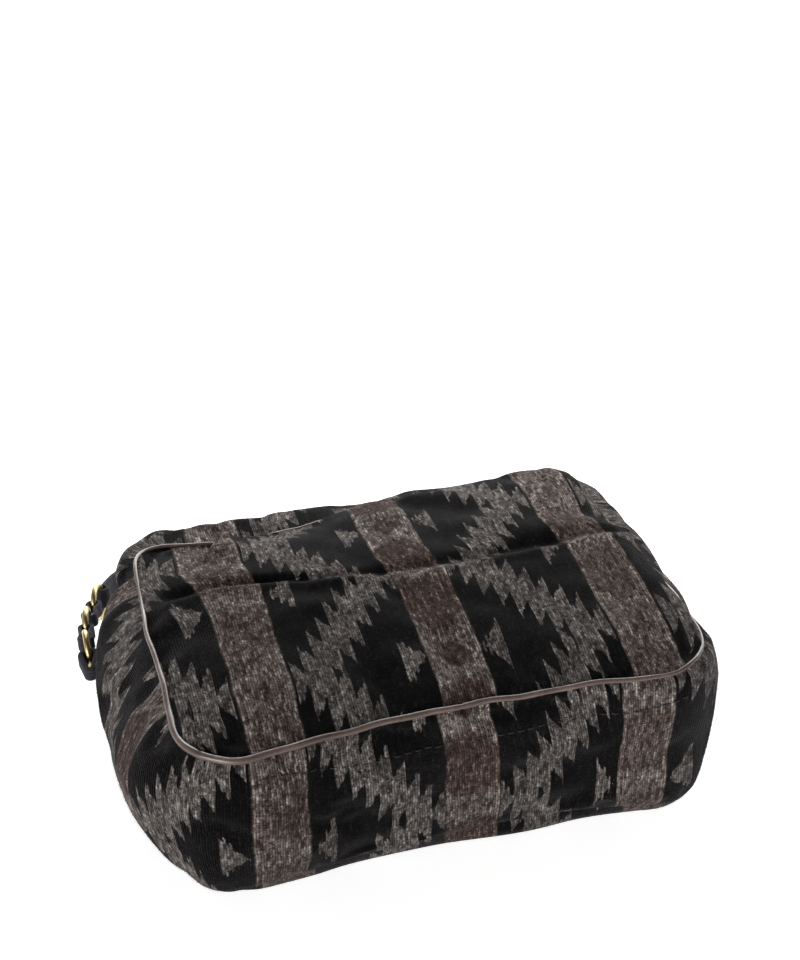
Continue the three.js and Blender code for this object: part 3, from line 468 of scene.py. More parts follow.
def outlinePieces(inset):
    half = bagForm["panelHeight"] / 2 - inset
    lower = bagForm["bottomWidth"] / 2 - inset
    upper = bagForm["topWidth"] / 2 - inset
    corners = [(lower, -half), (upper, half), (-upper, half), (-lower, -half)]
    radii = [bagForm["bottomCorner"], bagForm["topCorner"], bagForm["topCorner"], bagForm["bottomCorner"]]
    start = np.array([0.0, -half])
    here = start
    pieces = []
    for i, corner in enumerate(corners):
        corner = np.array(corner)
        following = np.array(corners[i + 1]) if i < 3 else start
        into = unit(corner - here)
        away = unit(following - corner)
        turn = math.acos(into @ away)
        reach = radii[i] * math.tan(turn / 2)
        facing = math.atan2(-into[0], into[1])
        normal = np.array([math.cos(facing), math.sin(facing)])
        arcStart = corner - into * reach
        pieces.append(("line", here, arcStart, facing, 0.0))
        pieces.append(("arc", arcStart - normal * radii[i], radii[i], facing, turn))
        here = corner + away * reach
    pieces.append(("line", here, start, -math.pi / 2, 0.0))
    return pieces


def outlineAt(u, inset=0.0):  # u counts the nine stretches of the walk round the bag
    pieces = outlinePieces(inset)
    waistReach = pieces[0][2][0]
    u = np.mod(np.asarray(u, dtype=float), 9)
    whole = np.minimum(np.floor(u).astype(int), 8)
    share = u - whole
    points = np.zeros(u.shape + (2,))
    normals = np.zeros(u.shape + (2,))
    for i, (kind, a, b, facing, turn) in enumerate(pieces):
        here = whole == i
        if not here.any():
            continue
        angle = facing + turn * share[here]
        normal = np.stack([np.cos(angle), np.sin(angle)], -1)
        if kind == "arc":
            point = a + normal * b
        else:
            point = a + (b - a) * share[here][:, None]
            if i in (0, 8):
                r = point[:, 0] / waistReach
                slope = -8 * r ** 3 * (1 - r ** 4) * bagForm["lowerWaist"] / waistReach
                point[:, 1] += bagForm["lowerWaist"] * (1 - r ** 4) ** 2
                normal = unit(np.stack([slope, -np.ones_like(slope)], -1))
        points[here] = point
        normals[here] = normal
    return points, normals


def frontSeamAt(u):
    point = outlineAt(u)[0]
    rise = point[..., 1] / bagForm["panelHeight"] + 0.5
    z = bagForm["bottomDepth"] + (bagForm["topDepth"] - bagForm["bottomDepth"]) * rise
    return np.concatenate([point, z[..., None]], -1)


def backSeamAt(u):
    point, normal = outlineAt(u, bagForm["backInset"])
    towardsBottom = np.maximum(0, -normal[..., 1]) ** 2
    towardsMiddle = np.maximum(0, 1 - (2 * point[..., 0] / bagForm["bottomWidth"]) ** 2)
    z = bagForm["backSeamHeight"] + bagForm["lowerSeamLift"] * towardsBottom * towardsMiddle
    return np.concatenate([point, z[..., None]], -1)


def creaseAt(x):  # the fold across the front, as far up as the photograph shows it
    return byMarks(x, bagForm["crease"])


def panelTopAt(x, y):
    share = np.clip(x / bagForm["bottomWidth"] + 0.5, 0, 1)
    fall = np.tan(np.radians(bagForm["leftFall"] + (bagForm["rightFall"] - bagForm["leftFall"]) * share))
    soft = bagForm["creaseSoftness"]
    return bagForm["bottomDepth"] + bagForm["dome"] - soft * np.log1p(np.exp(fall * (y - creaseAt(x)) / soft))


def alongWalk(u, marks):  # eases from one mark to the next round the bag
    marks = np.array(marks, dtype=float)
    u = np.mod(u, 9)
    i = np.clip(np.searchsorted(marks[:, 0], u, side="right") - 1, 0, len(marks) - 2)
    share = ease(0, 1, (u - marks[i, 0]) / (marks[i + 1, 0] - marks[i, 0]))
    return marks[i, 1] + (marks[i + 1, 1] - marks[i, 1]) * share


def gussetAt(u, v):
    u, v = np.broadcast_arrays(np.asarray(u, dtype=float), np.asarray(v, dtype=float))
    normal = outlineAt(u)[1]
    lift = np.radians(bagForm["topLift"]) * np.maximum(0, normal[..., 1]) ** 2
    out = np.stack([normal[..., 0] * np.cos(lift), normal[..., 1] * np.cos(lift), np.sin(lift)], -1)
    swell = alongWalk(u, bagForm["swells"])
    swell = np.where(v > 0.5, np.minimum(swell, 0.7), swell)
    full = np.maximum(0, 4 * v * (1 - v)) ** swell
    seam = frontSeamAt(u)
    bulge = out * (alongWalk(u, bagForm["bulges"]) * full)[..., None]
    return seam + (backSeamAt(u) - seam) * v[..., None] + bulge


# stations round the walk, broken at the middles of the four corners and closer together there
grid = {"across": 60, "upwards": 41, "rows": 10, "windowRows": 4, "windowHeight": 12.0, "windowHalf": 102.2}
fineU = np.linspace(0, 9, 9001)
fineLength = lengthAlong(outlineAt(fineU - 1e-9 * (fineU == 9))[0])
wholeLength = fineLength[-1]
cornerLengths = np.interp([1.5, 3.5, 5.5, 7.5], fineU, fineLength)
nx, ny = grid["across"], grid["upwards"]


def spaced(count):  # 0 to 1, closer together towards both ends
    t = np.linspace(0, 1, count + 1)
    return 0.6 * t + 0.4 * (0.5 - 0.5 * np.cos(np.pi * t))


def stretch(start, end, count):
    return start + (end - start) * spaced(count)[:-1]


walk = np.concatenate([
    stretch(cornerLengths[3] - wholeLength, cornerLengths[0], nx),
    stretch(cornerLengths[0], cornerLengths[1], ny),
    stretch(cornerLengths[1], cornerLengths[2], nx),
    stretch(cornerLengths[2], cornerLengths[3], ny)])
columnU = np.interp(np.mod(walk, wholeLength), fineLength, fineU)
columns = len(walk)


def coonsGrid(rim):  # fills a closed rim with a square grid
    s = spaced(nx)[:, None, None]
    t = spaced(ny)[None, :, None]
    bottom = rim[:nx + 1][:, None]
    right = rim[nx:nx + ny + 1][None]
    top = rim[nx + ny:2 * nx + ny + 1][::-1][:, None]
    left = np.concatenate([rim[2 * nx + ny:], rim[:1]])[::-1][None]
    flat = (1 - s) * (1 - t) * bottom[0, 0] + s * (1 - t) * bottom[-1, 0]
    flat = flat + (1 - s) * t * top[0, 0] + s * t * top[-1, 0]
    return (1 - t) * bottom + t * top + (1 - s) * left + s * right - flat


def rimIndex():  # which cells of the square grid lie on its rim, in the walk's order
    i = np.concatenate([np.arange(nx), np.full(ny, nx), np.arange(nx, 0, -1), np.zeros(ny, dtype=int)])
    j = np.concatenate([np.zeros(nx, dtype=int), np.arange(ny), np.full(nx, ny), np.arange(ny, 0, -1)])
    return i.astype(int), j.astype(int)


def polarShare(points, rim, pole):  # 0 at the pole and 1 on the rim, with the rim's height that way
    angle = np.arctan2(rim[:, 1] - pole[1], rim[:, 0] - pole[0])
    order = np.argsort(angle)
    angle, radius = angle[order], np.hypot(rim[:, 0] - pole[0], rim[:, 1] - pole[1])[order]
    height = rim[order, 2]
    angle = np.concatenate([angle - 2 * np.pi, angle, angle + 2 * np.pi])
    own = np.arctan2(points[..., 1] - pole[1], points[..., 0] - pole[0])
    reach = np.interp(own, angle, np.tile(radius, 3))
    r = np.hypot(points[..., 0] - pole[0], points[..., 1] - pole[1])
    return np.clip(r / reach, 0, 1), np.interp(own, angle, np.tile(height, 3))


frontRim = frontSeamAt(columnU)
backRim = backSeamAt(columnU)
fineRim = frontSeamAt(fineU[:-1])
fineBackRim = backSeamAt(fineU[:-1])
frontGrid = coonsGrid(frontRim)
share, rimZ = polarShare(frontGrid, fineRim, (0.0, bagForm["creaseY"]))
topZ = panelTopAt(frontGrid[..., 0], frontGrid[..., 1])
gridX, gridY = frontGrid[..., 0].copy(), frontGrid[..., 1].copy()
farRolled = ease(40, 80, gridY) * ease(-40, 5, gridX)  # there the cloth rolls over its seam
rightRolled = ease(50, 105, gridX) * ease(-80, -50, gridY) * ease(40, 12, gridY)
rolled = np.maximum(farRolled, rightRolled)
power = bagForm["edgePower"] + (bagForm["farRoll"] - bagForm["edgePower"]) * rolled
frontGrid[..., 2] = topZ + (rimZ - topZ) * share ** power
lip = np.sin(np.pi * np.clip((share - 0.8) / 0.2, 0, 1) ** 1.6)
frontGrid[..., 0] += bagForm["rightLip"] * rightRolled * lip
frontGrid[..., 1] += bagForm["farLip"] * farRolled * lip
rimI, rimJ = rimIndex()
frontGrid[rimI, rimJ] = frontRim
backGrid = coonsGrid(backRim)
share, rimZ = polarShare(backGrid, fineBackRim, (0.0, 0.0))
curl = np.clip((share - bagForm["flatShare"]) / (1 - bagForm["flatShare"]), 0, 1)
backGrid[..., 2] = rimZ * (1 - np.sqrt(1 - curl ** 2))
backSwell = bagForm["backSwell"] * bell(backGrid[..., 0], 36, 38) * np.sin(np.pi * curl)
backGrid[..., 1] -= backSwell * (backGrid[..., 1] < 0)
backGrid[rimI, rimJ] = backRim
lowSwell = byMarks(backGrid[..., 0], bagForm["lowBulge"]) * ease(0.8, 1.0, share)
backGrid[..., 1] -= lowSwell * (backGrid[..., 1] < -40)
acrossLength = float(np.linalg.norm(frontSeamAt(np.array([4.5])) - backSeamAt(np.array([4.5]))))
windowShare = grid["windowHeight"] / 2 / acrossLength
rowV = np.concatenate([
    np.linspace(0, 0.5 - windowShare, grid["rows"], endpoint=False),
    np.linspace(0.5 - windowShare, 0.5 + windowShare, grid["windowRows"], endpoint=False),
    np.linspace(0.5 + windowShare, 1, grid["rows"] + 1),
])
gussetGrid = gussetAt(columnU[None, :], rowV[:, None])
onNear = np.clip(-outlineAt(columnU)[1][:, 1], 0, 1) * ((columnU < 2) | (columnU > 7))
lowSwell = byMarks(gussetGrid[..., 0], bagForm["lowBulge"]) * ease(0.5, 1.0, rowV)[:, None]
gussetGrid[..., 1] -= lowSwell * np.sqrt(onNear)
gussetGrid[-1] = backGrid[rimI, rimJ]
rows = len(rowV)

# one shell of all the cloths for the filling to push out
frontIndex = np.arange((nx + 1) * (ny + 1)).reshape(nx + 1, ny + 1)
gussetIndex = np.zeros((rows, columns), dtype=int)
gussetIndex[0] = frontIndex[rimI, rimJ]
gussetIndex[1:-1] = frontIndex.size + np.arange((rows - 2) * columns).reshape(rows - 2, columns)
backIndex = frontIndex.size + (rows - 2) * columns + np.arange(backGrid[..., 0].size).reshape(nx + 1, ny + 1)
gussetIndex[-1] = backIndex[rimI, rimJ]
shell = np.concatenate([frontGrid.reshape(-1, 3), gussetGrid[1:-1].reshape(-1, 3), backGrid.reshape(-1, 3)])


def gridFaces(index, flip=False, closed=False):
    if closed:
        index = np.concatenate([index, index[:, :1]], 1)
    a, b, c, d = index[:-1, :-1], index[1:, :-1], index[1:, 1:], index[:-1, 1:]
    faces = np.stack([a, d, c, b] if flip else [a, b, c, d], -1)
    return faces.reshape(-1, 4)


shellFaces = np.concatenate([
    gridFaces(frontIndex), gridFaces(gussetIndex, closed=True), gridFaces(backIndex, flip=True)])

# folds and dents that the photograph shows, put in before the filling
sideSeamDrop = 7.0
rightSeam = int(np.argmin(np.abs(walk - (np.interp(3, fineU, fineLength) - sideSeamDrop))))
leftSeam = int(np.argmin(np.abs(walk - (np.interp(6, fineU, fineLength) + sideSeamDrop))))
folds = {
    "sag": [(-140, 0), (-130, 0.5), (-112, 8), (-89, 13), (-64, 10.5), (-41, 10), (-24, 5), (-8, 1), (4, 0)],
    "sagY": -0.42, "sagZ": -0.46, "sagReach": 20.0, "sagGusset": 0.14, "sideSeam": 5.0,
    "cornerX": -8.0, "cornerGusset": 0.3,
}
flatFront = frontGrid.copy()
rowOf = np.full(len(shell), -1.0)
rowOf[gussetIndex] = rowV[:, None]


def dentShell(points):
    x, y, z = points.T.copy()
    sag = byMarks(x, folds["sag"])
    front = np.zeros(len(points), dtype=bool)
    front[frontIndex] = True
    onGussetRow = np.maximum(0, 1 - rowOf / folds["sagGusset"])
    near = np.where(front, np.exp(-((100 - y) / folds["sagReach"]) ** 2), onGussetRow)
    near[(rowOf < 0) & ~front] = 0.0
    near = near * (y > 0)
    points[:, 1] += folds["sagY"] * sag * near
    points[:, 2] += folds["sagZ"] * sag * near
    corner = ease(-50, 60, y) * ease(-85, -128, x)  # the far left corner is pulled out
    corner = corner * np.where(front, 1.0, np.maximum(0, 1 - rowOf / folds["cornerGusset"]) * (rowOf >= 0))
    points[:, 0] += folds["cornerX"] * corner
    for seam in (leftSeam, rightSeam):  # the two lengths of gusset are joined here
        for step, share in ((-1, 0.25), (0, 1.0), (1, 0.25)):
            column = gussetIndex[1:-1, seam + step]
            inwards = unit(np.array([0, 0, 50.0]) - points[column]) * [1, 1, 0]
            points[column] += folds["sideSeam"] * share * inwards * np.sin(np.pi * rowV[1:-1])[:, None] ** 0.4
    return points


shell = dentShell(shell)

# filling: the cloth simulation pushes the shell out between its seams
filling = {
    "pressure": 2.0, "spare": 0.04, "cap": 3.0, "frames": 20, "bending": 4.0, "tension": 30.0, "evenOut": 12,
    "quality": 6, "mass": 0.3, "onTable": 1.0,
}


def fillShell(points):
    mesh = bpy.data.meshes.new("filling")
    mesh.from_pydata([tuple(p) for p in points * mm], [], [tuple(int(i) for i in f) for f in shellFaces])
    body = bpy.data.objects.new("filling", mesh)
    scene.collection.objects.link(body)
    held = body.vertex_groups.new(name="held")
    flat = np.abs(points[:, 2]) < filling["onTable"]
    pinned = np.unique(np.concatenate([gussetIndex[0], gussetIndex[-1], np.nonzero(flat)[0]]))
    held.add([int(i) for i in pinned], 1.0, "REPLACE")
    cloth = body.modifiers.new("cloth", "CLOTH")
    cloth.settings.quality = filling["quality"]
    cloth.settings.mass = filling["mass"]
    cloth.settings.tension_stiffness = filling["tension"]
    cloth.settings.compression_stiffness = filling["tension"]
    cloth.settings.shear_stiffness = filling["tension"] / 3
    cloth.settings.bending_stiffness = filling["bending"]
    cloth.settings.use_pressure = True
    cloth.settings.uniform_pressure_force = filling["pressure"]
    cloth.settings.shrink_min = -filling["spare"]
    cloth.settings.vertex_group_mass = "held"
    cloth.settings.effector_weights.gravity = 0.0
    cloth.collision_settings.use_collision = False
    for number in range(1, filling["frames"] + 1):
        scene.frame_set(number)
    graph = bpy.context.evaluated_depsgraph_get()
    moved = np.zeros(len(points) * 3)
    body.evaluated_get(graph).data.vertices.foreach_get("co", moved)
    bpy.data.objects.remove(body)
    scene.frame_set(1)
    shift = moved.reshape(-1, 3) / mm - points
    length = np.linalg.norm(shift, axis=1, keepdims=True)
    print("filling moved the cloth by %.2f mm, at most %.2f" % (length.mean(), length.max()))
    swell = shift.copy()  # the even swell is already in the shape, so only folds and puckers are kept
    near = np.concatenate([shellFaces[:, [i, (i + 1) % 4]] for i in range(4)])
    near = np.concatenate([near, near[:, ::-1]])
    count = np.bincount(near[:, 0], minlength=len(points))[:, None]
    for turn in range(filling["evenOut"]):
        total = np.zeros_like(swell)
        np.add.at(total, near[:, 0], swell[near[:, 1]])
        swell = 0.5 * swell + 0.5 * total / count
    shift = shift - swell
    length = np.linalg.norm(shift, axis=1, keepdims=True)
    print("folds and puckers of %.2f mm, at most %.2f" % (length.mean(), length.max()))
    shift *= np.minimum(1, filling["cap"] / np.maximum(length, 1e-9))
    return points + shift


shell = fillShell(shell)
shell[:, 2] = np.maximum(shell[:, 2], 0.0)
frontGrid = shell[frontIndex]
gussetGrid = shell[gussetIndex]
backGrid = shell[backIndex]
print("bag filled")


# pattern coordinates in millimetres, as the cloth was cut
cutting = {
    "foldTakes": 14.0, "slack": 0.1, "foldShift": 4.5, "curlShare": 1.3, "nearDraw": 5.2, "drawSlope": 0.025,
    "leftLean": 0.045, "rightLean": 2.5, "leanDepth": 95, "cornerDraw": 7, "cornerSlew": 0.55,
    "cornerAt": -200, "cornerWidth": 48, "pull": 0.95, "leftPull": 0.15,
    "gussetStart": -63.7, "topOffset": -33.0,
}


def frontPattern(points):
    x, y = points[..., 0], points[..., 1]
    past = y - creaseAt(x)
    hidden = cutting["foldTakes"] * ease(-2, 6, past)  # cloth taken up by the fold
    hidden = hidden + cutting["slack"] * np.maximum(0, past)
    return np.stack([x + cutting["foldShift"] * ease(0, 25, past), y + hidden], -1)


def backPattern(points):  # the curled edge counts with its height
    reach = [bagForm["bottomWidth"] / 2, bagForm["panelHeight"] / 2]
    side = np.sign(points[..., :2]) * (np.abs(points[..., :2]) / reach) ** 8
    return frontPattern(points) + cutting["curlShare"] * unit(side) * points[..., 2:]


def gussetPattern(points, walkAt, offset=0.0):
    down = lengthAlong(points)
    eased = ease(0, 40, down) * ease(110, 55, walkAt) * ease(-80, -20, walkAt)
    nearDraw = cutting["nearDraw"] + cutting["drawSlope"] * walkAt
    drawn = -nearDraw * (1 - eased) * ease(-160, -120, walkAt) * ease(150, 120, walkAt)
    lean = cutting["leftLean"] * np.minimum(walkAt, 0) - cutting["rightLean"] * ease(70, 110, walkAt)
    drawn = drawn + lean * down / cutting["leanDepth"] * (np.abs(walkAt) < 135)
    slewed = cutting["cornerDraw"] + cutting["cornerSlew"] * down  # drawn round the full left corner
    slewed = slewed * bell(walkAt, cutting["cornerAt"], cutting["cornerWidth"])
    pulled = cutting["pull"] + cutting["leftPull"] * ease(-80, -130, walkAt)
    return np.stack([walkAt + offset - drawn - slewed, cutting["gussetStart"] - pulled * down], -1)


creases = {  # each place: middle and width
    "lip": 1.4, "lipPast": (-2.5, 4.0), "trough": 4.6, "troughPast": (5.5, 4.2), "deepX": (-80, 50),
    "mound": 3.5, "moundX": (95, 45), "moundPast": (28, 16), "valley": 2.5, "valleyX": (100, 40),
    "valleyPast": (7, 7), "lump": 0.45, "lumpLengths": (13, 30),
    "pleatFrom": (-103.0, 66.0), "pleatTo": (-86.0, 88.0), "pleatHeight": 8.0, "pleatFall": 14,
    "pleatGap": (-2.2, 2.2),
}
fullTurn = 6.283  # near enough for the lumps
lumpWaves = np.random.default_rng(7).uniform(0, 1, (14, 3))


def shapeFront(piece):  # sharp folds go in once the mesh is fine enough to hold them
    count = len(piece.data.vertices)
    points = np.zeros(count * 3)
    piece.data.vertices.foreach_get("co", points)
    points = points.reshape(-1, 3) / mm
    x, y = points[:, 0], points[:, 1]
    share, rimZ = polarShare(points, fineRim, (0.0, bagForm["creaseY"]))
    inner = ease(1.0, 0.92, share)
    past = y - creaseAt(x)
    deep = 0.45 + 0.55 * bell(x, *creases["deepX"])
    rise = creases["lip"] * bell(past, *creases["lipPast"])
    rise = rise - creases["trough"] * deep * bell(past, *creases["troughPast"])
    start, end = np.array(creases["pleatFrom"]), np.array(creases["pleatTo"])
    ahead = unit(end - start)
    run = ((x - start[0]) * ahead[0] + (y - start[1]) * ahead[1]) / np.linalg.norm(end - start)
    off = (x - start[0]) * ahead[1] - (y - start[1]) * ahead[0]  # to the right of the pleat's edge
    onPleat = ease(-0.25, 0.5, run) * ease(1.7, 1.0, run)
    fold = ease(-0.6, 0.6, off) * np.exp(-np.maximum(0, off) / creases["pleatFall"])
    pleat = creases["pleatHeight"] * onPleat * (fold - 1.1 * bell(off, *creases["pleatGap"]))
    rise = rise + creases["mound"] * bell(x, *creases["moundX"]) * bell(past, *creases["moundPast"])
    rise = rise - creases["valley"] * bell(x, *creases["valleyX"]) * bell(past, *creases["valleyPast"])
    shortest, longer = creases["lumpLengths"]
    for bearing, size, phase in lumpWaves * [fullTurn, 1, fullTurn]:
        towards = x * math.cos(bearing) + y * math.sin(bearing)
        wave = np.sin(towards * fullTurn / (shortest + longer * size) + phase)
        rise = rise + creases["lump"] * (0.4 + size) * wave * 0.4
    points[:, 2] += rise * inner + pleat * ease(1.0, 0.965, share)
    piece.data.vertices.foreach_set("co", (points * mm).ravel())
    piece.data.update()


frontCloth = makePiece(
    "front_cloth", frontGrid.reshape(-1, 3) * mm, gridFaces(frontIndex), chenilleCloth,
    frontPattern(flatFront).reshape(-1, 2))
refine(frontCloth, 2)
shapeFront(frontCloth)
handOver(frontCloth, "bag", "cloth", "front_panel")

backCloth = makePiece(
    "back_cloth", backGrid.reshape(-1, 3) * mm, gridFaces(frontIndex, flip=True), chenilleCloth,
    backPattern(backGrid).reshape(-1, 2))
refine(backCloth, 1)
handOver(backCloth, "bag", "cloth", "back_panel")

# the gusset strip is sewn from two lengths: the main one and the zipped one over the top
mainColumns = np.concatenate([np.arange(leftSeam, columns), np.arange(0, rightSeam + 1)])
topColumns = np.arange(rightSeam, leftSeam + 1)
mainWalk = np.where(walk[mainColumns] > wholeLength / 2, walk[mainColumns] - wholeLength, walk[mainColumns])


def gussetCloth(name, chosen, walkAt, window=None, offset=0.0):
    points = gussetGrid[:, chosen].copy()
    index = np.arange(points[..., 0].size).reshape(points.shape[:2])
    faces = gridFaces(index)
    if window is not None:
        cell = np.arange(len(faces)).reshape(points.shape[0] - 1, points.shape[1] - 1)
        faces = np.delete(faces, cell[window].ravel(), axis=0)
    pattern = gussetPattern(points, walkAt, offset).reshape(-1, 2)
    return makePiece(name, points.reshape(-1, 3) * mm, faces, chenilleCloth, pattern)


mainGusset = gussetCloth("main_gusset_cloth", mainColumns, mainWalk)
refine(mainGusset, 2)
handOver(mainGusset, "bag", "cloth", "main_gusset")

topX = gussetGrid[rows // 2, topColumns, 0]
inWindow = np.nonzero(np.abs(topX) < grid["windowHalf"])[0]
windowCells = (slice(grid["rows"], grid["rows"] + grid["windowRows"]), slice(inWindow[0], inWindow[-1]))
topGusset = gussetCloth("top_gusset_cloth", topColumns, walk[topColumns], windowCells, cutting["topOffset"])


hem = {"depth": 3.0, "halfLength": 0.105, "height": 0.052, "halfHeight": 0.02, "outside": 0.11}


def turnHem(piece, depth):  # turns the cloth's edge in round the zipper
    work = bmesh.new()
    work.from_mesh(piece.data)
    rim = [e for e in work.edges if e.is_boundary and all(
        abs(v.co.x) < hem["halfLength"] and abs(v.co.z - hem["height"]) < hem["halfHeight"]
        and v.co.y > hem["outside"] for v in e.verts)]
    middle = Vector((0, 0, sum(v.co.z for e in rim for v in e.verts) / (2 * len(rim))))
    for drop, away in ((0.5, 0.0), (0.5, 0.35)):
        made = bmesh.ops.extrude_edge_only(work, edges=rim)["geom"]
        fresh = [g for g in made if isinstance(g, bmesh.types.BMVert)]
        for v in fresh:
            v.co -= Vector((0, 1, 0)) * depth * drop * mm
            v.co.z += math.copysign(depth * away * mm, v.co.z - middle.z)
        rim = [g for g in made if isinstance(g, bmesh.types.BMEdge) and all(v in fresh for v in g.verts)]
    bmesh.ops.recalc_face_normals(work, faces=work.faces)
    work.to_mesh(piece.data)
    work.free()


turnHem(topGusset, hem["depth"])
refine(topGusset, 2)
handOver(topGusset, "bag", "cloth", "top_gusset")
print("cloths made")


# sweeps: a section carried along a path
def smoothPath(points, count, closed):  # even points on a Catmull-Rom curve
    points = np.asarray(points, dtype=float)
    n = len(points)
    if closed:
        index = np.arange(n)
        before, after, later = points[(index - 1) % n], points[(index + 1) % n], points[(index + 2) % n]
        here = points
    else:
        padded = np.concatenate([2 * points[:1] - points[1:2], points, 2 * points[-1:] - points[-2:-1]])
        before, here, after, later = padded[:-3], padded[1:-2], padded[2:-1], padded[3:]
    t = np.linspace(0, 1, 12, endpoint=False)[None, :, None]
    before, here, after, later = (p[:, None] for p in (before, here, after, later))
    squared = 2 * before - 5 * here + 4 * after - later
    cubed = 3 * here - before - 3 * after + later
    curve = 0.5 * (2 * here + (after - before) * t + squared * t ** 2 + cubed * t ** 3)
    curve = curve.reshape(-1, points.shape[1])
    curve = np.concatenate([curve, points[:1] if closed else points[-1:]])
    length = lengthAlong(curve)
    at = np.linspace(0, length[-1], count + 1)[:-1] if closed else np.linspace(0, length[-1], count)
    return np.stack([np.interp(at, length, curve[:, k]) for k in range(points.shape[1])], -1), at


def sweepFaces(stations, sides, closed):
    index = np.arange(stations * sides).reshape(stations, sides)
    ring = np.concatenate([index, index[:, :1]], 1)
    if closed:
        ring = np.concatenate([ring, ring[:1]])
    a, b, c, d = ring[:-1, :-1], ring[1:, :-1], ring[1:, 1:], ring[:-1, 1:]
    faces = [tuple(f) for f in np.stack([a, b, c, d], -1).reshape(-1, 4)]
    if not closed:
        faces += [tuple(index[0]), tuple(index[-1][::-1])]
    return faces


def tangents(path, closed):
    if closed:
        return unit(np.roll(path, -1, 0) - np.roll(path, 1, 0))
    return unit(np.gradient(path, axis=0))


def roundedSection(thickness, width, radius, steps=3):  # flat strap: across its thickness, then its width
    points = []
    for k, (sx, sy) in enumerate(((1, 1), (-1, 1), (-1, -1), (1, -1))):
        for i in range(steps + 1):
            angle = math.pi / 2 * (k + i / steps)
            points.append((sx * (thickness / 2 - radius) + radius * math.cos(angle),
                           sy * (width / 2 - radius) + radius * math.sin(angle)))
    return np.array(points)


def placed(points, matrix):
    points = np.asarray(points, dtype=float)
    return points @ np.array(matrix.to_3x3()).T + np.array(matrix.translation)


def sweptBand(name, path, section, closed, material, matrix, side=1):  # thickness in x and y, width in z
    ahead = tangents(path, closed)
    thick = side * section[None, :, 0]
    ring = np.stack([
        path[:, None, 0] - ahead[:, None, 1] * thick, path[:, None, 1] + ahead[:, None, 0] * thick,
        np.broadcast_to(section[None, :, 1], (len(path), len(section)))], -1)
    faces = sweepFaces(len(path), len(section), closed)
    piece = makePiece(name, placed(ring.reshape(-1, 3), matrix) * mm, faces, material)
    outwards(piece)
    return piece


def spunRing(name, across, radius, count, material):  # a section turned round the x axis
    turn = np.linspace(0, 2 * np.pi, count, endpoint=False)
    ring = np.stack([
        np.broadcast_to(across[None], (count, len(across))),
        radius[None] * np.cos(turn)[:, None], radius[None] * np.sin(turn)[:, None]], -1)
    piece = makePiece(name, ring.reshape(-1, 3) * mm, sweepFaces(count, len(across), True), material)
    outwards(piece)
    return piece


# piping: leather rolled over a cord along the front seam, a little wavy, its ends butted at the bottom
piping = {
    "stations": 760, "sides": 14, "wave": 0.45, "sideWave": 0.3, "lift": 0.5, "tuck": 2.5, "farSink": 1.6,
    "radius": [(-140, 2.05), (-100, 1.95), (-60, 1.75), (0, 1.65), (60, 1.5), (110, 1.3), (140, 1.2)],
    "farThinner": 0.45, "least": 1.0, "swell": 0.035, "jointX": 1.0, "jointDip": 0.22, "jointWidth": 0.8,
}
seamPath, seamAt = smoothPath(gussetGrid[0], piping["stations"], True)
along = tangents(seamPath, True)
seamNormal = unit(np.stack([along[:, 1], -along[:, 0], np.zeros(len(along))], -1))
seamUp = np.cross(seamNormal, along)
phase = seamAt / wholeLength * 2 * np.pi
wave = np.sin(9 * phase + 0.4) + 0.8 * np.sin(17 * phase + 1.9) + 0.5 * np.sin(31 * phase)
tucked = ease(40, 80, seamPath[:, 0]) * ease(0, 40, seamPath[:, 1])  # under the rolled far right corner
unsagged = seamPath[:, 1] - folds["sagY"] * byMarks(seamPath[:, 0], folds["sag"])
rolledUnder = ease(88, 97, unsagged) * ease(-88, -74, seamPath[:, 0])  # the far seam
sunk = piping["tuck"] * tucked + piping["farSink"] * rolledUnder
upwards = piping["wave"] * wave + piping["lift"] - sunk
sideways = piping["sideWave"] * np.roll(wave, 9)
seamPath = seamPath + seamUp * upwards[:, None] + seamNormal * sideways[:, None]
jointGap = np.abs(seamPath[:, 0] - piping["jointX"]) + 1000 * (seamPath[:, 1] > 0)
shown = 1 - piping["farThinner"] * ease(-100, 60, seamPath[:, 1])
shown = byMarks(seamPath[:, 0], piping["radius"]) * shown
uneven = 1 + piping["swell"] * np.sin(31 * phase + 2)
uneven = uneven - piping["jointDip"] * np.exp(-(jointGap / piping["jointWidth"]) ** 2)
pipeRadius = np.maximum(shown, piping["least"] - 0.5 * tucked) * uneven
turn = np.linspace(0, 2 * np.pi, piping["sides"], endpoint=False)
pipe = seamPath[:, None] + pipeRadius[:, None, None] * (
    seamNormal[:, None] * np.cos(turn)[None, :, None] + seamUp[:, None] * np.sin(turn)[None, :, None])
pipeFaces = sweepFaces(piping["stations"], piping["sides"], True)
seamPiping = makePiece("seam_piping", pipe.reshape(-1, 3) * mm, pipeFaces, dressedLeather)
outwards(seamPiping)
handOver(seamPiping, "bag", "leather", "front_piping")
print("piping made")


# geometry nodes that grow what repeats
def newTree(name, sockets):
    tree = bpy.data.node_groups.new(name, "GeometryNodeTree")
    for socket, kind in [("Geometry", "Geometry")] + list(sockets.items()):
        tree.interface.new_socket(socket, in_out="INPUT", socket_type="NodeSocket" + kind)
    tree.interface.new_socket("Geometry", in_out="OUTPUT", socket_type="NodeSocketGeometry")
    return tree, addNode(tree, "NodeGroupInput").outputs


def growNodes(piece, tree, values):
    modifier = piece.modifiers.new(tree.name, "NODES")
    modifier.node_group = tree
    for item in tree.interface.items_tree:
        if item.item_type == "SOCKET" and item.in_out == "INPUT" and item.name in values:
            modifier[item.identifier] = values[item.name]
    bakeModifiers(piece)


# pile: short loose fibres of the chenille, standing off the cloths
pile = {"perSquareMetre": 650000.0, "length": 1.0, "thickness": 0.13, "lean": 0.8}


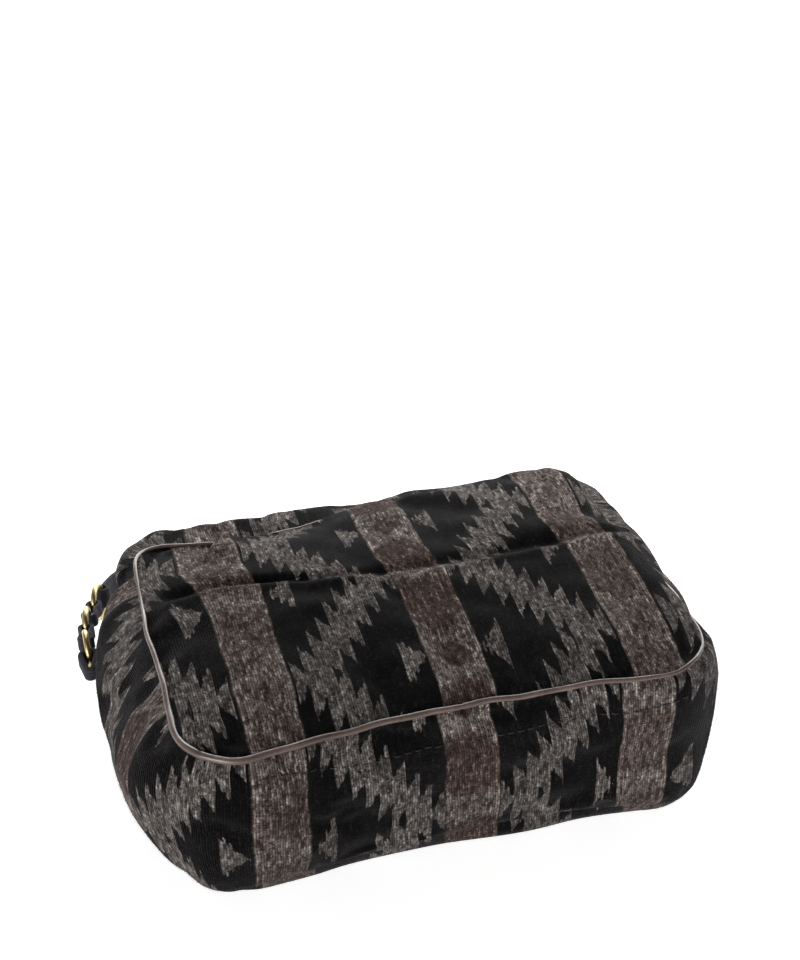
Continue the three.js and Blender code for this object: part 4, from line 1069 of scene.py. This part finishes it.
def makePileTree():
    tree, given = newTree("pile on a cloth", {
        "Shape": "Object", "Density": "Float", "Lean": "Float", "Seed": "Int", "Material": "Material"})
    roots = addNode(tree, "GeometryNodeDistributePointsOnFaces", {
        "Mesh": given["Geometry"], "Density": given["Density"], "Seed": given["Seed"]})
    lean = addNode(tree, "VectorMath", {0: (1, 1, 0), "Scale": given["Lean"]}, operation="SCALE")
    back = addNode(tree, "VectorMath", {0: lean, "Scale": -1.0}, operation="SCALE")
    turn = addNode(tree, "FunctionNodeRandomValue", {
        0: back, 1: lean, "Seed": given["Seed"]}, data_type="FLOAT_VECTOR")
    tipped = addNode(tree, "FunctionNodeEulerToRotation", {0: turn})
    leaning = addNode(tree, "FunctionNodeRotateRotation", {
        0: roots.outputs["Rotation"], 1: tipped}, rotation_space="LOCAL")
    size = addNode(tree, "FunctionNodeRandomValue", {"Min": 0.5, "Max": 1.2, "Seed": 77}, data_type="FLOAT")
    shape = addNode(tree, "GeometryNodeObjectInfo", {"Object": given["Shape"]})
    fibres = addNode(tree, "GeometryNodeInstanceOnPoints", {
        "Points": roots.outputs["Points"], "Instance": shape.outputs["Geometry"],
        "Rotation": leaning, "Scale": size.outputs[1]})
    real = addNode(tree, "GeometryNodeRealizeInstances", {0: fibres})
    pattern = addNode(tree, "GeometryNodeInputNamedAttribute", {"Name": "cloth"}, data_type="FLOAT_VECTOR")
    stored = addNode(tree, "GeometryNodeStoreNamedAttribute", {
        "Geometry": real, "Name": "cloth", "Value": pattern.outputs[0]}, data_type="FLOAT2", domain="CORNER")
    painted = addNode(tree, "GeometryNodeSetMaterial", {"Geometry": stored, "Material": given["Material"]})
    addNode(tree, "NodeGroupOutput", {0: painted})
    return tree


pileTree = makePileTree()
fibreRadius = pile["thickness"] / 2
fibrePoints = [(math.cos(a) * fibreRadius, math.sin(a) * fibreRadius, -0.1) for a in (0, 2.094, 4.189)]
fibre = makePiece("fibre", np.array(fibrePoints + [(0, 0, pile["length"])]) * mm,
                  [(2, 1, 0), (0, 1, 3), (1, 2, 3), (2, 0, 3)], chenilleCloth)


def makePile(name, cloth, seed):
    fuzz = bpy.data.objects.new(name, cloth.data.copy())
    scene.collection.objects.link(fuzz)
    growNodes(fuzz, pileTree, {
        "Shape": fibre, "Density": pile["perSquareMetre"], "Lean": pile["lean"], "Seed": seed,
        "Material": chenilleCloth})
    handOver(fuzz, "bag", "cloth")
    print(name, len(fuzz.data.polygons) // 4, "fibres")


makePile("front_pile", frontCloth, 3)
makePile("main_gusset_pile", mainGusset, 5)
makePile("top_gusset_pile", topGusset, 8)
bpy.data.objects.remove(fibre)


# what repeats along a path: stitches and zipper teeth
def makeRowTree():
    tree, given = newTree("row along a path", {
        "Shape": "Object", "Pitch": "Float", "Turn": "Float", "Seed": "Int", "Material": "Material"})
    curve = addNode(tree, "GeometryNodeMeshToCurve", {0: given["Geometry"]})
    even = addNode(tree, "GeometryNodeResampleCurve", {
        "Curve": curve, "Length": given["Pitch"]}, mode="LENGTH")
    up = addNode(tree, "GeometryNodeInputNamedAttribute", {"Name": "out"}, data_type="FLOAT_VECTOR")
    tangent = addNode(tree, "GeometryNodeInputTangent")
    rotation = addNode(tree, "FunctionNodeAxesToRotation", {0: up.outputs[0], 1: tangent},
                       primary_axis="Z", secondary_axis="X")
    least = addNode(tree, "Math", {0: given["Turn"], 1: -1.0}, operation="MULTIPLY")
    skew = addNode(tree, "FunctionNodeRandomValue", {
        "Min": least, "Max": given["Turn"], "Seed": given["Seed"]}, data_type="FLOAT")
    skewed = addNode(tree, "FunctionNodeAxisAngleToRotation", {"Axis": (0, 0, 1), "Angle": skew.outputs[1]})
    turned = addNode(tree, "FunctionNodeRotateRotation", {0: rotation, 1: skewed}, rotation_space="LOCAL")
    shape = addNode(tree, "GeometryNodeObjectInfo", {"Object": given["Shape"]})
    points = addNode(tree, "GeometryNodeCurveToPoints", {"Curve": even}, mode="EVALUATED")
    placed = addNode(tree, "GeometryNodeInstanceOnPoints", {
        "Points": points, "Instance": shape.outputs["Geometry"], "Rotation": turned})
    real = addNode(tree, "GeometryNodeRealizeInstances", {0: placed})
    painted = addNode(tree, "GeometryNodeSetMaterial", {"Geometry": real, "Material": given["Material"]})
    addNode(tree, "NodeGroupOutput", {0: painted})
    return tree


rowTree = makeRowTree()


def makeRow(name, paths, out, shape, pitch, material, turn=0.0, seed=1):
    points, edges, ups = [], [], []
    for path, facing in zip(paths, out):
        start = len(points)
        points += [tuple(p * mm) for p in path]
        ups += [tuple(n) for n in facing]
        edges += [(start + i, start + i + 1) for i in range(len(path) - 1)]
    mesh = bpy.data.meshes.new(name)
    mesh.from_pydata(points, edges, [])
    attribute = mesh.attributes.new("out", "FLOAT_VECTOR", "POINT")
    attribute.data.foreach_set("vector", np.array(ups, dtype=np.float32).ravel())
    row = bpy.data.objects.new(name, mesh)
    scene.collection.objects.link(row)
    growNodes(row, rowTree, {
        "Shape": shape, "Pitch": pitch * mm, "Turn": turn, "Seed": seed, "Material": material})
    row.data.shade_smooth()
    return row


def stitchShape(length, thickness):  # one stitch: a sunken thread, thick in the middle, diving at both ends
    stations, sides = 7, 6
    s = np.linspace(-1, 1, stations)
    turn = np.linspace(0, 2 * np.pi, sides, endpoint=False)
    radius = thickness / 2 * (1 - 0.75 * s ** 6)
    dive = thickness * (0.3 - 0.7 * s ** 4)
    ring = np.stack([
        np.broadcast_to((s * length / 2)[:, None], (stations, sides)),
        radius[:, None] * np.cos(turn)[None], dive[:, None] + radius[:, None] * np.sin(turn)[None]], -1)
    shape = makePiece("stitch", ring.reshape(-1, 3) * mm, sweepFaces(stations, sides, False), sewingThread)
    outwards(shape)
    return shape


def gussetNormals(points):
    downRow = np.gradient(points, axis=0)
    sideways = np.gradient(points, axis=1)
    return unit(np.cross(downRow, sideways))


# stitched line along the bottom gusset, that holds the turned seam allowance
bottomStitch = {
    "pitch": 5.6, "length": 3.8, "thickness": 0.65, "lift": 0.45, "from": -106.0, "to": 119.0, "turn": 0.12,
    "down": 11, "middleDrop": 10, "rightRise": 5,
}
gussetNormal = gussetNormals(np.concatenate([gussetGrid[:, -1:], gussetGrid, gussetGrid[:, :1]], 1))[:, 1:-1]


def onGusset(walkAt, down):  # points on the filled gusset, by place round the walk and distance from the seam
    order = np.argsort(walk)
    found, facing = [], []
    for s, d in zip(np.atleast_1d(walkAt), np.atleast_1d(down)):
        c = np.interp(s, walk[order], np.arange(columns)[order])
        left = int(np.floor(c)) % columns
        right = (left + 1) % columns
        f = c - np.floor(c)
        line = gussetGrid[:, left] * (1 - f) + gussetGrid[:, right] * f
        normal = gussetNormal[:, left] * (1 - f) + gussetNormal[:, right] * f
        length = lengthAlong(line)
        found.append([np.interp(d, length, line[:, k]) for k in range(3)])
        facing.append([np.interp(d, length, normal[:, k]) for k in range(3)])
    return np.array(found), unit(facing)


stitchWalk = np.linspace(bottomStitch["from"], bottomStitch["to"], 90)
stitchDown = bottomStitch["down"] + bottomStitch["middleDrop"] * ease(bottomStitch["from"], -55, stitchWalk)
stitchDown = stitchDown - bottomStitch["rightRise"] * ease(60, bottomStitch["to"], stitchWalk)
stitchPath, stitchOut = onGusset(stitchWalk, stitchDown)
stitchPath = stitchPath + stitchOut * bottomStitch["lift"]
thread = stitchShape(bottomStitch["length"], bottomStitch["thickness"])
bottomStitching = makeRow(
    "bottom_stitching", [stitchPath], [stitchOut], thread, bottomStitch["pitch"], sewingThread,
    turn=bottomStitch["turn"], seed=4)
handOver(bottomStitching, "bag", "cloth")
print("stitches made")


# zipper in a frame of its own: x along the teeth, y out of the bag, z across the tapes
zipper = {
    "centre": (0.0, 132.2789, 51.8611), "tilt": -0.7345, "teethLength": 191.78, "pitch": 2.0, "teethZ": 1.8,
    "head": (1.15, 1.7), "clamp": (1.5, 1.3), "tapeHalf": 99.4, "tapeBend": 0.024, "tapePly": 0.8,
    "teethDepth": 3.0, "teethSink": 1.7, "tapeDepth": 3.3, "tapeReach": 11.0, "tapeInner": 3.7,
    "sliderX": 85.889, "barY": 2.5, "stopLength": 3.0, "stopWidth": 6.4, "stopGap": 0.3,
    "stations": 40, "tapeCells": (120, 8),
}
zipTilt = Matrix.Rotation(math.radians(zipper["tilt"]), 4, "X")
zipMatrix = Matrix.Translation(Vector(zipper["centre"])) @ zipTilt


def boxShape(name, size, bevel, material, segments=2):
    work = bmesh.new()
    bmesh.ops.create_cube(work, size=1.0)
    for v in work.verts:
        v.co = Vector((v.co.x * size[0], v.co.y * size[1], v.co.z * size[2])) * mm
    bmesh.ops.bevel(
        work, geom=list(work.edges), offset=bevel * mm, segments=segments, profile=0.6, affect="EDGES")
    mesh = bpy.data.meshes.new(name)
    work.to_mesh(mesh)
    work.free()
    return linkPiece(name, mesh, material)


def joinPieces(name, parts, material):
    work = bmesh.new()
    for part, matrix in parts:
        mesh = part.data.copy()
        mesh.transform(matrix)
        work.from_mesh(mesh)
        bpy.data.meshes.remove(mesh)
    mesh = bpy.data.meshes.new(name)
    work.to_mesh(mesh)
    work.free()
    for part in {p for p, m in parts}:
        bpy.data.objects.remove(part)
    return linkPiece(name, mesh, material)


def inMetres(matrix):
    return Matrix.Translation(matrix.translation * mm) @ matrix.to_3x3().to_4x4()


toothY = -zipper["teethSink"] - zipper["teethDepth"] / 2
for side, name in ((1, "front"), (-1, "back")):
    upright = Matrix.Rotation(math.pi / 2, 4, "X")
    parts = []
    for part, offset in (("head", -0.55), ("clamp", 0.75)):
        length, width = zipper[part]
        box = boxShape("tooth_" + part, (length, zipper["teethDepth"], width), 0.3, agedBrass, 1)
        parts.append((box, Matrix.Translation(Vector((0, side * offset, 0)) * mm) @ upright))
    tooth = joinPieces("tooth", parts, agedBrass)
    shift = 0.0 if side > 0 else zipper["pitch"] / 2
    half = zipper["teethLength"] / 2
    lineX = np.linspace(-half + 1 + shift, half - 2 + shift, zipper["stations"])
    line = np.stack([lineX, np.full_like(lineX, toothY), np.full_like(lineX, side * zipper["teethZ"])], -1)
    path = placed(line, zipMatrix)
    facing = np.tile(np.array(zipMatrix.to_3x3() @ Vector((0, 1, 0))), (len(line), 1))
    teeth = makeRow("zip_teeth_" + name + "_row", [path], [facing], tooth, zipper["pitch"], agedBrass)
    bpy.data.objects.remove(tooth)
    handOver(teeth, "bag", "brass", "zip_teeth_" + name)
    tapeX = np.linspace(-zipper["tapeHalf"], zipper["tapeHalf"], zipper["tapeCells"][0])
    tapeZ = np.linspace(zipper["tapeInner"] - 1.0, zipper["tapeReach"], zipper["tapeCells"][1])
    tapeY = -zipper["tapeDepth"] - zipper["tapeBend"] * tapeZ ** 2
    tapeGrid = np.stack(np.broadcast_arrays(
        tapeX[:, None], tapeY[None, :], side * tapeZ[None, :]), -1)
    index = np.arange(tapeX.size * tapeZ.size).reshape(tapeX.size, tapeZ.size)
    tape = makePiece(
        "zip_tape_" + name + "_strip", placed(tapeGrid.reshape(-1, 3), zipMatrix) * mm,
        gridFaces(index, flip=side < 0), wovenTape)
    ply = tape.modifiers.new("ply", "SOLIDIFY")
    ply.thickness = zipper["tapePly"] * mm
    ply.offset = -1
    bakeModifiers(tape)
    handOver(tape, "bag", "tape", "zip_tape_" + name)

for side, name in ((-1, "left"), (1, "right")):
    stopSize = (zipper["stopLength"], zipper["teethDepth"], zipper["stopWidth"])
    stop = boxShape("stop", stopSize, 0.7, agedBrass, 3)
    stopX = side * (zipper["teethLength"] / 2 + zipper["stopGap"] + zipper["stopLength"] / 2)
    stop = joinPieces("zip_stop_" + name + "_clip", [
        (stop, inMetres(zipMatrix @ Matrix.Translation(Vector((stopX, toothY, 0)))))], agedBrass)
    handOver(stop, "bag", "brass", "zip_stop_" + name)
print("zipper made")


# slider and pull
slider = {
    "length": 12.0, "height": 8.6, "plate": 1.2, "bar": 1.6, "play": 0.3,
    "plateBevel": 0.4, "barBevel": 0.55, "post": (3.0, 0.6), "lip": (8.64, 2.0, 0.8),
    "lipAhead": 1.2, "lipDrop": 0.7,
}


def plateShape(name, outline, thickness, bevel, material):  # a flat plate in x and z, with rounded edges
    work = bmesh.new()
    ring = [work.verts.new(Vector((x, -thickness / 2, z)) * mm) for x, z in outline]
    face = work.faces.new(ring)
    made = bmesh.ops.extrude_face_region(work, geom=[face])["geom"]
    for v in made:
        if isinstance(v, bmesh.types.BMVert):
            v.co.y += thickness * mm
    bmesh.ops.recalc_face_normals(work, faces=work.faces)
    sharp = [e for e in work.edges if len(e.link_faces) == 2 and e.calc_face_angle(0) > 0.9]
    bmesh.ops.bevel(work, geom=sharp, offset=bevel * mm, segments=3, profile=0.6, affect="EDGES")
    mesh = bpy.data.meshes.new(name)
    work.to_mesh(mesh)
    work.free()
    return linkPiece(name, mesh, material)


def sliderOutline():  # a shield: broad shoulders, waisted to the tail
    half, wide = slider["length"] / 2, slider["height"] / 2
    t = np.linspace(0, 1, 15)
    x = half - t * 2 * half
    rounded = np.sqrt(np.clip(1 - (2 * t - 1) ** 8, 0, 1))
    z = wide * (0.98 - 0.28 * ease(0.35, 0.9, t)) * rounded + 0.6
    upper = list(zip(x, np.minimum(z, wide)))
    return upper + [(px, -pz) for px, pz in reversed(upper)]


plateY = -zipper["teethSink"] + slider["play"] + slider["plate"] / 2
underY = -zipper["teethSink"] - zipper["teethDepth"] - slider["play"] - slider["plate"] / 2
sliderMatrix = zipMatrix @ Matrix.Translation(Vector((zipper["sliderX"], 0, 0)))
barY = zipper["barY"]
bridge = np.array([
    (-3.9, plateY), (-3.8, plateY + 1.6), (-3.1, barY + 0.1), (-1.6, barY + 0.25), (0, barY + 0.25),
    (1.6, barY + 0.25), (3.1, barY + 0.1), (3.8, plateY + 1.6), (3.9, plateY)])
section = roundedSection(slider["bar"] * 0.8, slider["bar"] * 1.2, slider["barBevel"])
bridgePath = smoothPath(bridge, 40, False)[0]
bridgeBar = sweptBand("bridge", bridgePath, section, False, agedBrass, Matrix.Identity(4))
topPlate = plateShape("top_plate", sliderOutline(), slider["plate"], slider["plateBevel"], agedBrass)
underPlate = plateShape("under_plate", sliderOutline(), slider["plate"], slider["plateBevel"], agedBrass)
post = boxShape("post", (slider["post"][0], plateY - underY, slider["post"][1]), 0.12, agedBrass)
lips = [boxShape("lip", slider["lip"], 0.3, agedBrass) for i in range(2)]
toSlider = inMetres(sliderMatrix)
lipY = plateY - slider["lipDrop"]
lipZ = slider["height"] / 2 - 0.45
sliderParts = [
    (topPlate, (0, plateY, 0)), (underPlate, (0, underY, 0)), (post, (0, (plateY + underY) / 2, 0)),
    (lips[0], (slider["lipAhead"], lipY, lipZ)), (lips[1], (slider["lipAhead"], lipY, -lipZ)),
    (bridgeBar, (0, 0, 0))]
sliderBody = joinPieces("slider_body", [
    (part, toSlider @ Matrix.Translation(Vector(at) * mm)) for part, at in sliderParts], agedBrass)
handOver(sliderBody, "slider", "brass", "zip_slider")

pull = {
    "length": 26.0, "width": 8.0, "thickness": 1.8, "bevel": 0.5, "neck": 1.6,
    "eye": 4.8, "eyeHole": 1.1, "eyeWidth": 4.6, "ridgeOuter": 2.6, "ridgeHole": 1.7, "ridgeWidth": 0.7,
}


def pullOutline():  # a blade: narrow neck, waist, round end
    t = np.linspace(0, 1, 12)
    z = -pull["neck"] - t * (pull["length"] - pull["width"] / 2 - pull["neck"])
    half = pull["width"] / 2 * (0.62 + 0.38 * ease(0.05, 0.75, t))
    side = list(zip(half, z))
    turn = np.linspace(0, np.pi, 16)[1:-1]
    end = [(pull["width"] / 2 * math.cos(a), z[-1] - pull["width"] / 2 * math.sin(a)) for a in turn]
    return side + end + [(-x, pz) for x, pz in reversed(side)]


def ringPlate(name, outer, hole, width, bevel, material, count=28):  # an eye round the x axis
    profile = roundedSection(outer - hole, width, bevel)
    return spunRing(name, profile[:, 1], (outer + hole) / 2 + profile[:, 0], count, material)


blade = plateShape("blade", pullOutline(), pull["thickness"], pull["bevel"], agedBrass)
eye = ringPlate("eye", pull["eye"] / 2, pull["eyeHole"], pull["eyeWidth"], 0.4, agedBrass)
ridge = ringPlate(  # a raised ring on the blade's round end
    "ridge", pull["ridgeOuter"], pull["ridgeHole"], pull["ridgeWidth"], 0.3, agedBrass, 24)
pullAt = zipMatrix @ Vector((zipper["sliderX"], zipper["barY"], 0))
toPull = Matrix.Translation(pullAt * mm)
pullEnd = -(pull["length"] - pull["width"] / 2)
toRidge = toPull @ Matrix.Translation(Vector((0, 0.7, pullEnd)) * mm)
pullBody = joinPieces("pull_body", [
    (blade, toPull), (eye, toPull),
    (ridge, toRidge @ Matrix.Rotation(math.pi / 2, 4, "Z"))], agedBrass)
handOver(pullBody, "pull", "brass", "zip_pull")
print("slider and pull made")


# tabs, rings, loops and strap
chain = {
    "ringRadius": 10.0, "wire": 3.4, "ringY": 64.6642, "ringZ": 43.0, "leftX": -175.430, "rightX": 165.409,
    "strapTilt": 17.6917, "gap": 14.0, "turn": 5.0, "links": 2, "loopWidth": 8.0, "loopLayer": 2.4,
    "tabWidth": 9.0, "tabLayer": 4.0, "tabLength": 23.0, "edgeTilt": math.degrees(math.atan2(13.0, 201.0)),
    "strapWidth": 12.0, "strapThickness": 4.0, "strapBend": 60.0, "strapLead": 6.0,
    "strapStations": 240, "strapRound": 1.0, "eyeRound": 0.8, "bandStations": 96, "loopPinch": 1.5,
    "play": 0.3,
}


def wireSag(width):
    level = math.sqrt(1 - (width / 2 / chain["ringRadius"]) ** 2)
    return chain["ringRadius"] * (1 - level) + chain["wire"] / 2 * (1 / level - 1)


def slotFor(width):
    return chain["wire"] / 2 + chain["play"] + wireSag(width) / 2


def heading(turn):
    return np.array([math.sin(turn), math.cos(turn)])


def makeRing(name):
    tube = np.linspace(0, 2 * np.pi, 16, endpoint=False)
    radius = chain["ringRadius"] + chain["wire"] / 2 * np.cos(tube)
    return spunRing(name, chain["wire"] / 2 * np.sin(tube), radius, 64, agedBrass)


def bandPath(length, radius, pinch, lowRadius=None):  # round one wire, up, round the other and down again
    lowRadius = lowRadius or radius
    turn = np.linspace(0, np.pi, 13)
    side = np.linspace(0, 1, 11)[1:-1]
    apart = lowRadius + (radius - lowRadius) * side - pinch * np.sin(np.pi * side) ** 2
    right = np.stack([apart, length * side], -1)
    low = np.stack([lowRadius * np.cos(np.pi + turn), lowRadius * np.sin(np.pi + turn)], -1)
    high = np.stack([radius * np.cos(turn), length + radius * np.sin(turn)], -1)
    left = np.stack([-right[::-1, 0], right[::-1, 1]], -1)
    return np.concatenate([low, right, high, left])


def makeBand(name, path, layer, width, matrix):
    path = smoothPath(path, chain["bandStations"], True)[0]
    section = roundedSection(layer, width, min(layer, width) * 0.3)
    return sweptBand(name, path, section, True, splitSuede, matrix, -1)


strapMatrix = (Matrix.Translation(Vector((0, chain["ringY"], chain["ringZ"])))
               @ Matrix.Rotation(-math.radians(chain["strapTilt"]), 4, "X"))
endPoints = {}
for side, name, ringX in ((-1, "left", chain["leftX"]), (1, "right", chain["rightX"])):
    # tab on the side gusset
    tabSlot = slotFor(chain["tabWidth"])
    tabOuter = tabSlot + chain["tabLayer"]
    straight = chain["tabLength"] - 2 * tabOuter
    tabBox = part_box("tab_" + name)
    tabMiddle = (tabBox[0] + tabBox[1]) / 2 / mm
    tabTilt = Matrix.Rotation(side * math.radians(chain["edgeTilt"]), 4, "Z")
    tabMatrix = (Matrix.Translation(Vector(tabMiddle)) @ tabTilt
                 @ Matrix.Translation(Vector((0, tabOuter - chain["tabLength"] / 2, 0))))
    layer = chain["tabLayer"] - 0.6
    path = bandPath(straight, tabSlot + 0.3 + layer / 2, 0.0, layer / 2 + 0.4)
    tab = makeBand("tab_" + name + "_suede", path, layer, chain["tabWidth"], tabMatrix)
    handOver(tab, "bag", "suede", "tab_" + name)
    tabRing = makeRing("tab_ring_" + name + "_wire")
    tabRing.data.transform(Matrix.Translation(Vector((ringX, chain["ringY"], chain["ringZ"])) * mm))
    handOver(tabRing, "bag", "brass", "tab_ring_" + name)
    # loops and rings of the chain, in the strap's plane
    wireAt = np.array([0.0, chain["ringRadius"]])
    sag = wireSag(chain["loopWidth"])
    slot = slotFor(chain["loopWidth"])
    for i in range(1, chain["links"] + 1):
        loopTurn = math.radians((2 * i - 1) * chain["turn"])
        ringTurn = math.radians(2 * i * chain["turn"])
        toLoop = strapMatrix @ Matrix.Translation(Vector((ringX - side * wireAt[0], wireAt[1], 0)))
        toLoop = toLoop @ Matrix.Rotation(side * loopTurn, 4, "Z")
        loopMatrix = toLoop @ Matrix.Translation(Vector((0, -sag / 2, 0)))
        path = bandPath(chain["gap"] + sag, slot + chain["loopLayer"] / 2, chain["loopPinch"])
        node = "strap_loop_" + name + "_" + str(i)
        loop = makeBand(node + "_suede", path, chain["loopLayer"], chain["loopWidth"], loopMatrix)
        handOver(loop, "strap", "suede", node)
        wireAt = wireAt + heading(loopTurn) * chain["gap"]
        centre = wireAt + heading(ringTurn) * chain["ringRadius"]
        wireAt = wireAt + heading(ringTurn) * 2 * chain["ringRadius"]
        node = "strap_ring_" + name + "_" + str(i)
        link = makeRing(node + "_wire")
        link.data.transform(inMetres(
            strapMatrix @ Matrix.Translation(Vector((ringX - side * centre[0], centre[1], 0)))
            @ Matrix.Rotation(side * ringTurn, 4, "Z")))
        handOver(link, "strap", "brass", node)
    endPoints[side] = (ringX, wireAt)
print("tabs, rings and loops made")

# strap: a long suede band on its edge behind the bag, turned round the last ring at each end
strapTurn = math.radians((2 * chain["links"] + 1) * chain["turn"])
strapSlot = slotFor(chain["strapWidth"])


def strapHalf(side):
    ringX, wireAt = endPoints[side]
    ahead = heading(strapTurn)
    end = wireAt - ahead * wireSag(chain["strapWidth"]) / 2
    bendStart = end + ahead * (strapSlot + chain["loopLayer"] + chain["strapLead"])
    bendCentre = bendStart + np.array([math.cos(strapTurn), -math.sin(strapTurn)]) * chain["strapBend"]
    first = math.pi / 2 - strapTurn
    route = [end + ahead * (strapSlot + 0.6)]
    for k in range(13):
        angle = first * (1 - k / 12)
        route.append(bendCentre + np.array([-math.sin(angle), math.cos(angle)]) * chain["strapBend"])
    route = np.array([[ringX - side * p[0], p[1]] for p in route])
    return route, np.array([ringX - side * end[0], end[1]])


leftRoute, leftEye = strapHalf(-1)
rightRoute, rightEye = strapHalf(1)
middle = np.linspace(leftRoute[-1], rightRoute[-1], 14)[1:-1]
strapRoute = np.concatenate([leftRoute, middle, rightRoute[::-1]])
strapPath = smoothPath(strapRoute, chain["strapStations"], False)[0]
section = roundedSection(chain["strapThickness"] * 0.9, chain["strapWidth"], chain["strapRound"])
band = sweptBand("band", strapPath, section, False, splitSuede, strapMatrix)
eyes = []
for centre in (leftEye, rightEye):
    eyeRing = ringPlate(
        "strap_eye", strapSlot + chain["loopLayer"], strapSlot, chain["strapWidth"], chain["eyeRound"],
        splitSuede, 40)
    toEye = strapMatrix @ Matrix.Translation(Vector((centre[0], centre[1], 0)))
    eyes.append((eyeRing, inMetres(toEye @ Matrix.Rotation(math.pi / 2, 4, "Y"))))
strapBand = joinPieces("strap_suede", [(band, Matrix.Identity(4))] + eyes, splitSuede)
handOver(strapBand, "strap", "suede", "shoulder_strap")

strapStitch = {"length": 3.2, "thickness": 0.8, "pitch": 4.2, "fromEdge": 2.0, "spare": 4}
strapThread = stitchShape(strapStitch["length"], strapStitch["thickness"])
ahead = tangents(strapPath, False)
facing = np.stack([-ahead[:, 1], ahead[:, 0], np.zeros(len(ahead))], -1)
flat = np.concatenate([strapPath, np.zeros((len(strapPath), 1))], 1)
stitched = slice(strapStitch["spare"], -strapStitch["spare"])
lines, facings = [], []
for face in (1, -1):
    for edge in (1, -1):
        line = flat + face * facing * chain["strapThickness"] * 0.45
        line[:, 2] = edge * (chain["strapWidth"] / 2 - strapStitch["fromEdge"])
        lines.append(placed(line[stitched], strapMatrix))
        facings.append(face * facing[stitched] @ np.array(strapMatrix.to_3x3()).T)
strapStitching = makeRow(
    "strap_stitching", lines, facings, strapThread, strapStitch["pitch"], sewingThread, turn=0.05, seed=9)
handOver(strapStitching, "strap", "suede")
for helper in (thread, strapThread):
    bpy.data.objects.remove(helper)
print("strap made")

# lining: a loose cotton bag just inside the cloths, open along the zipper
lining = {"inside": 5.2, "spareRows": 1}
corners = [shell[shellFaces[:, i]] for i in range(4)]
cellNormal = unit(np.cross(corners[2] - corners[0], corners[3] - corners[1]))
shellNormal = np.zeros_like(shell)
for corner in range(4):
    np.add.at(shellNormal, shellFaces[:, corner], cellNormal)
shellNormal = unit(shellNormal)
gussetCells = len(gridFaces(frontIndex)) + np.arange((rows - 1) * columns).reshape(rows - 1, columns)
openRows = slice(grid["rows"] - lining["spareRows"], grid["rows"] + grid["windowRows"] + lining["spareRows"])
openCells = gussetCells[openRows, topColumns[inWindow[0]]:topColumns[inWindow[-1]]]
liningFaces = np.delete(shellFaces, openCells.ravel(), axis=0)
liningBag = makePiece("lining_bag", (shell - shellNormal * lining["inside"]) * mm, liningFaces, cottonLining)
handOver(liningBag, "bag", "lining", "lining")
print("lining made")


# floor and light
studio = {
    "floor": "#f4f4f4", "bounce": "#f4f4f4", "reach": 6, "under": -0.0004,
    "glow": 0.62, "horizon": 0.6, "zenith": 0.0,
    "suns": {"fill": (4.6, 50.0, (-0.8, -0.75, 0.18)), "key": (0.2, 14.0, (0.05, 0.5, 0.86))},
    "strip": {"watts": 6.0, "size": (1.0, 0.36), "at": (0.18, 0.4, 0.24), "towards": (0.0, 0.02, 0.09)},
}
floorMesh = bpy.data.meshes.new("floor")
reach, under = studio["reach"], studio["under"]
floorCorners = [
    (-reach, -reach, under), (reach, -reach, under), (reach, reach, under), (-reach, reach, under)]
floorMesh.from_pydata(floorCorners, [], [(0, 1, 2, 3)])
floor = bpy.data.objects.new("floor", floorMesh)
scene.collection.objects.link(floor)
floorPaint, tree = newMaterial("matt white paper")
path = addNode(tree, "LightPath")
seen = addNode(tree, "Math", {
    0: path.outputs["Is Camera Ray"], 1: path.outputs["Is Glossy Ray"]}, operation="MAXIMUM")
seen = addNode(tree, "Math", {0: seen, 1: path.outputs["Is Transmission Ray"]}, operation="MAXIMUM")
paperTone = addNode(tree, "MixRGB", {0: seen, 1: linear(studio["bounce"]), 2: linear(studio["floor"])})
paper = addNode(tree, "BsdfDiffuse", {"Color": paperTone})
glowing = addNode(tree, "Math", {0: seen, 1: studio["glow"]}, operation="MULTIPLY")
glow = addNode(tree, "Emission", {"Color": (1, 1, 1, 1), "Strength": glowing})
addNode(tree, "OutputMaterial", {0: addNode(tree, "AddShader", {0: paper, 1: glow})})
floorMesh.materials.append(floorPaint)

world = bpy.data.worlds.new("studio")
scene.world = world
world.use_nodes = True
tree = world.node_tree
tree.nodes.clear()
path = addNode(tree, "LightPath")
ray = addNode(tree, "TexCoord")
height = addNode(tree, "SeparateXYZ", {0: ray.outputs["Generated"]})
walls = addNode(tree, "MapRange", {0: height.outputs[2], 3: studio["horizon"], 4: studio["zenith"]})
strength = addNode(tree, "MixRGB", {0: path.outputs["Is Camera Ray"], 1: walls, 2: (1, 1, 1, 1)})
sky = addNode(tree, "Background", {"Color": (1, 1, 1, 1), "Strength": strength})
addNode(tree, "OutputWorld", {0: sky})
for name, (strength, angle, source) in studio["suns"].items():
    lampData = bpy.data.lights.new(name, "SUN")
    lampData.energy = strength
    lampData.angle = math.radians(angle)
    lamp = bpy.data.objects.new(name, lampData)
    lamp.rotation_euler = Vector(source).to_track_quat("Z", "Y").to_euler()
    scene.collection.objects.link(lamp)
stripData = bpy.data.lights.new("strip", "AREA")
stripData.shape = "RECTANGLE"
stripData.size, stripData.size_y = studio["strip"]["size"]
stripData.energy = studio["strip"]["watts"]
strip = bpy.data.objects.new("strip", stripData)
strip.location = studio["strip"]["at"]
aim = Vector(studio["strip"]["at"]) - Vector(studio["strip"]["towards"])
strip.rotation_euler = aim.to_track_quat("Z", "Y").to_euler()
strip.visible_camera = False
scene.collection.objects.link(strip)
print("stage set")
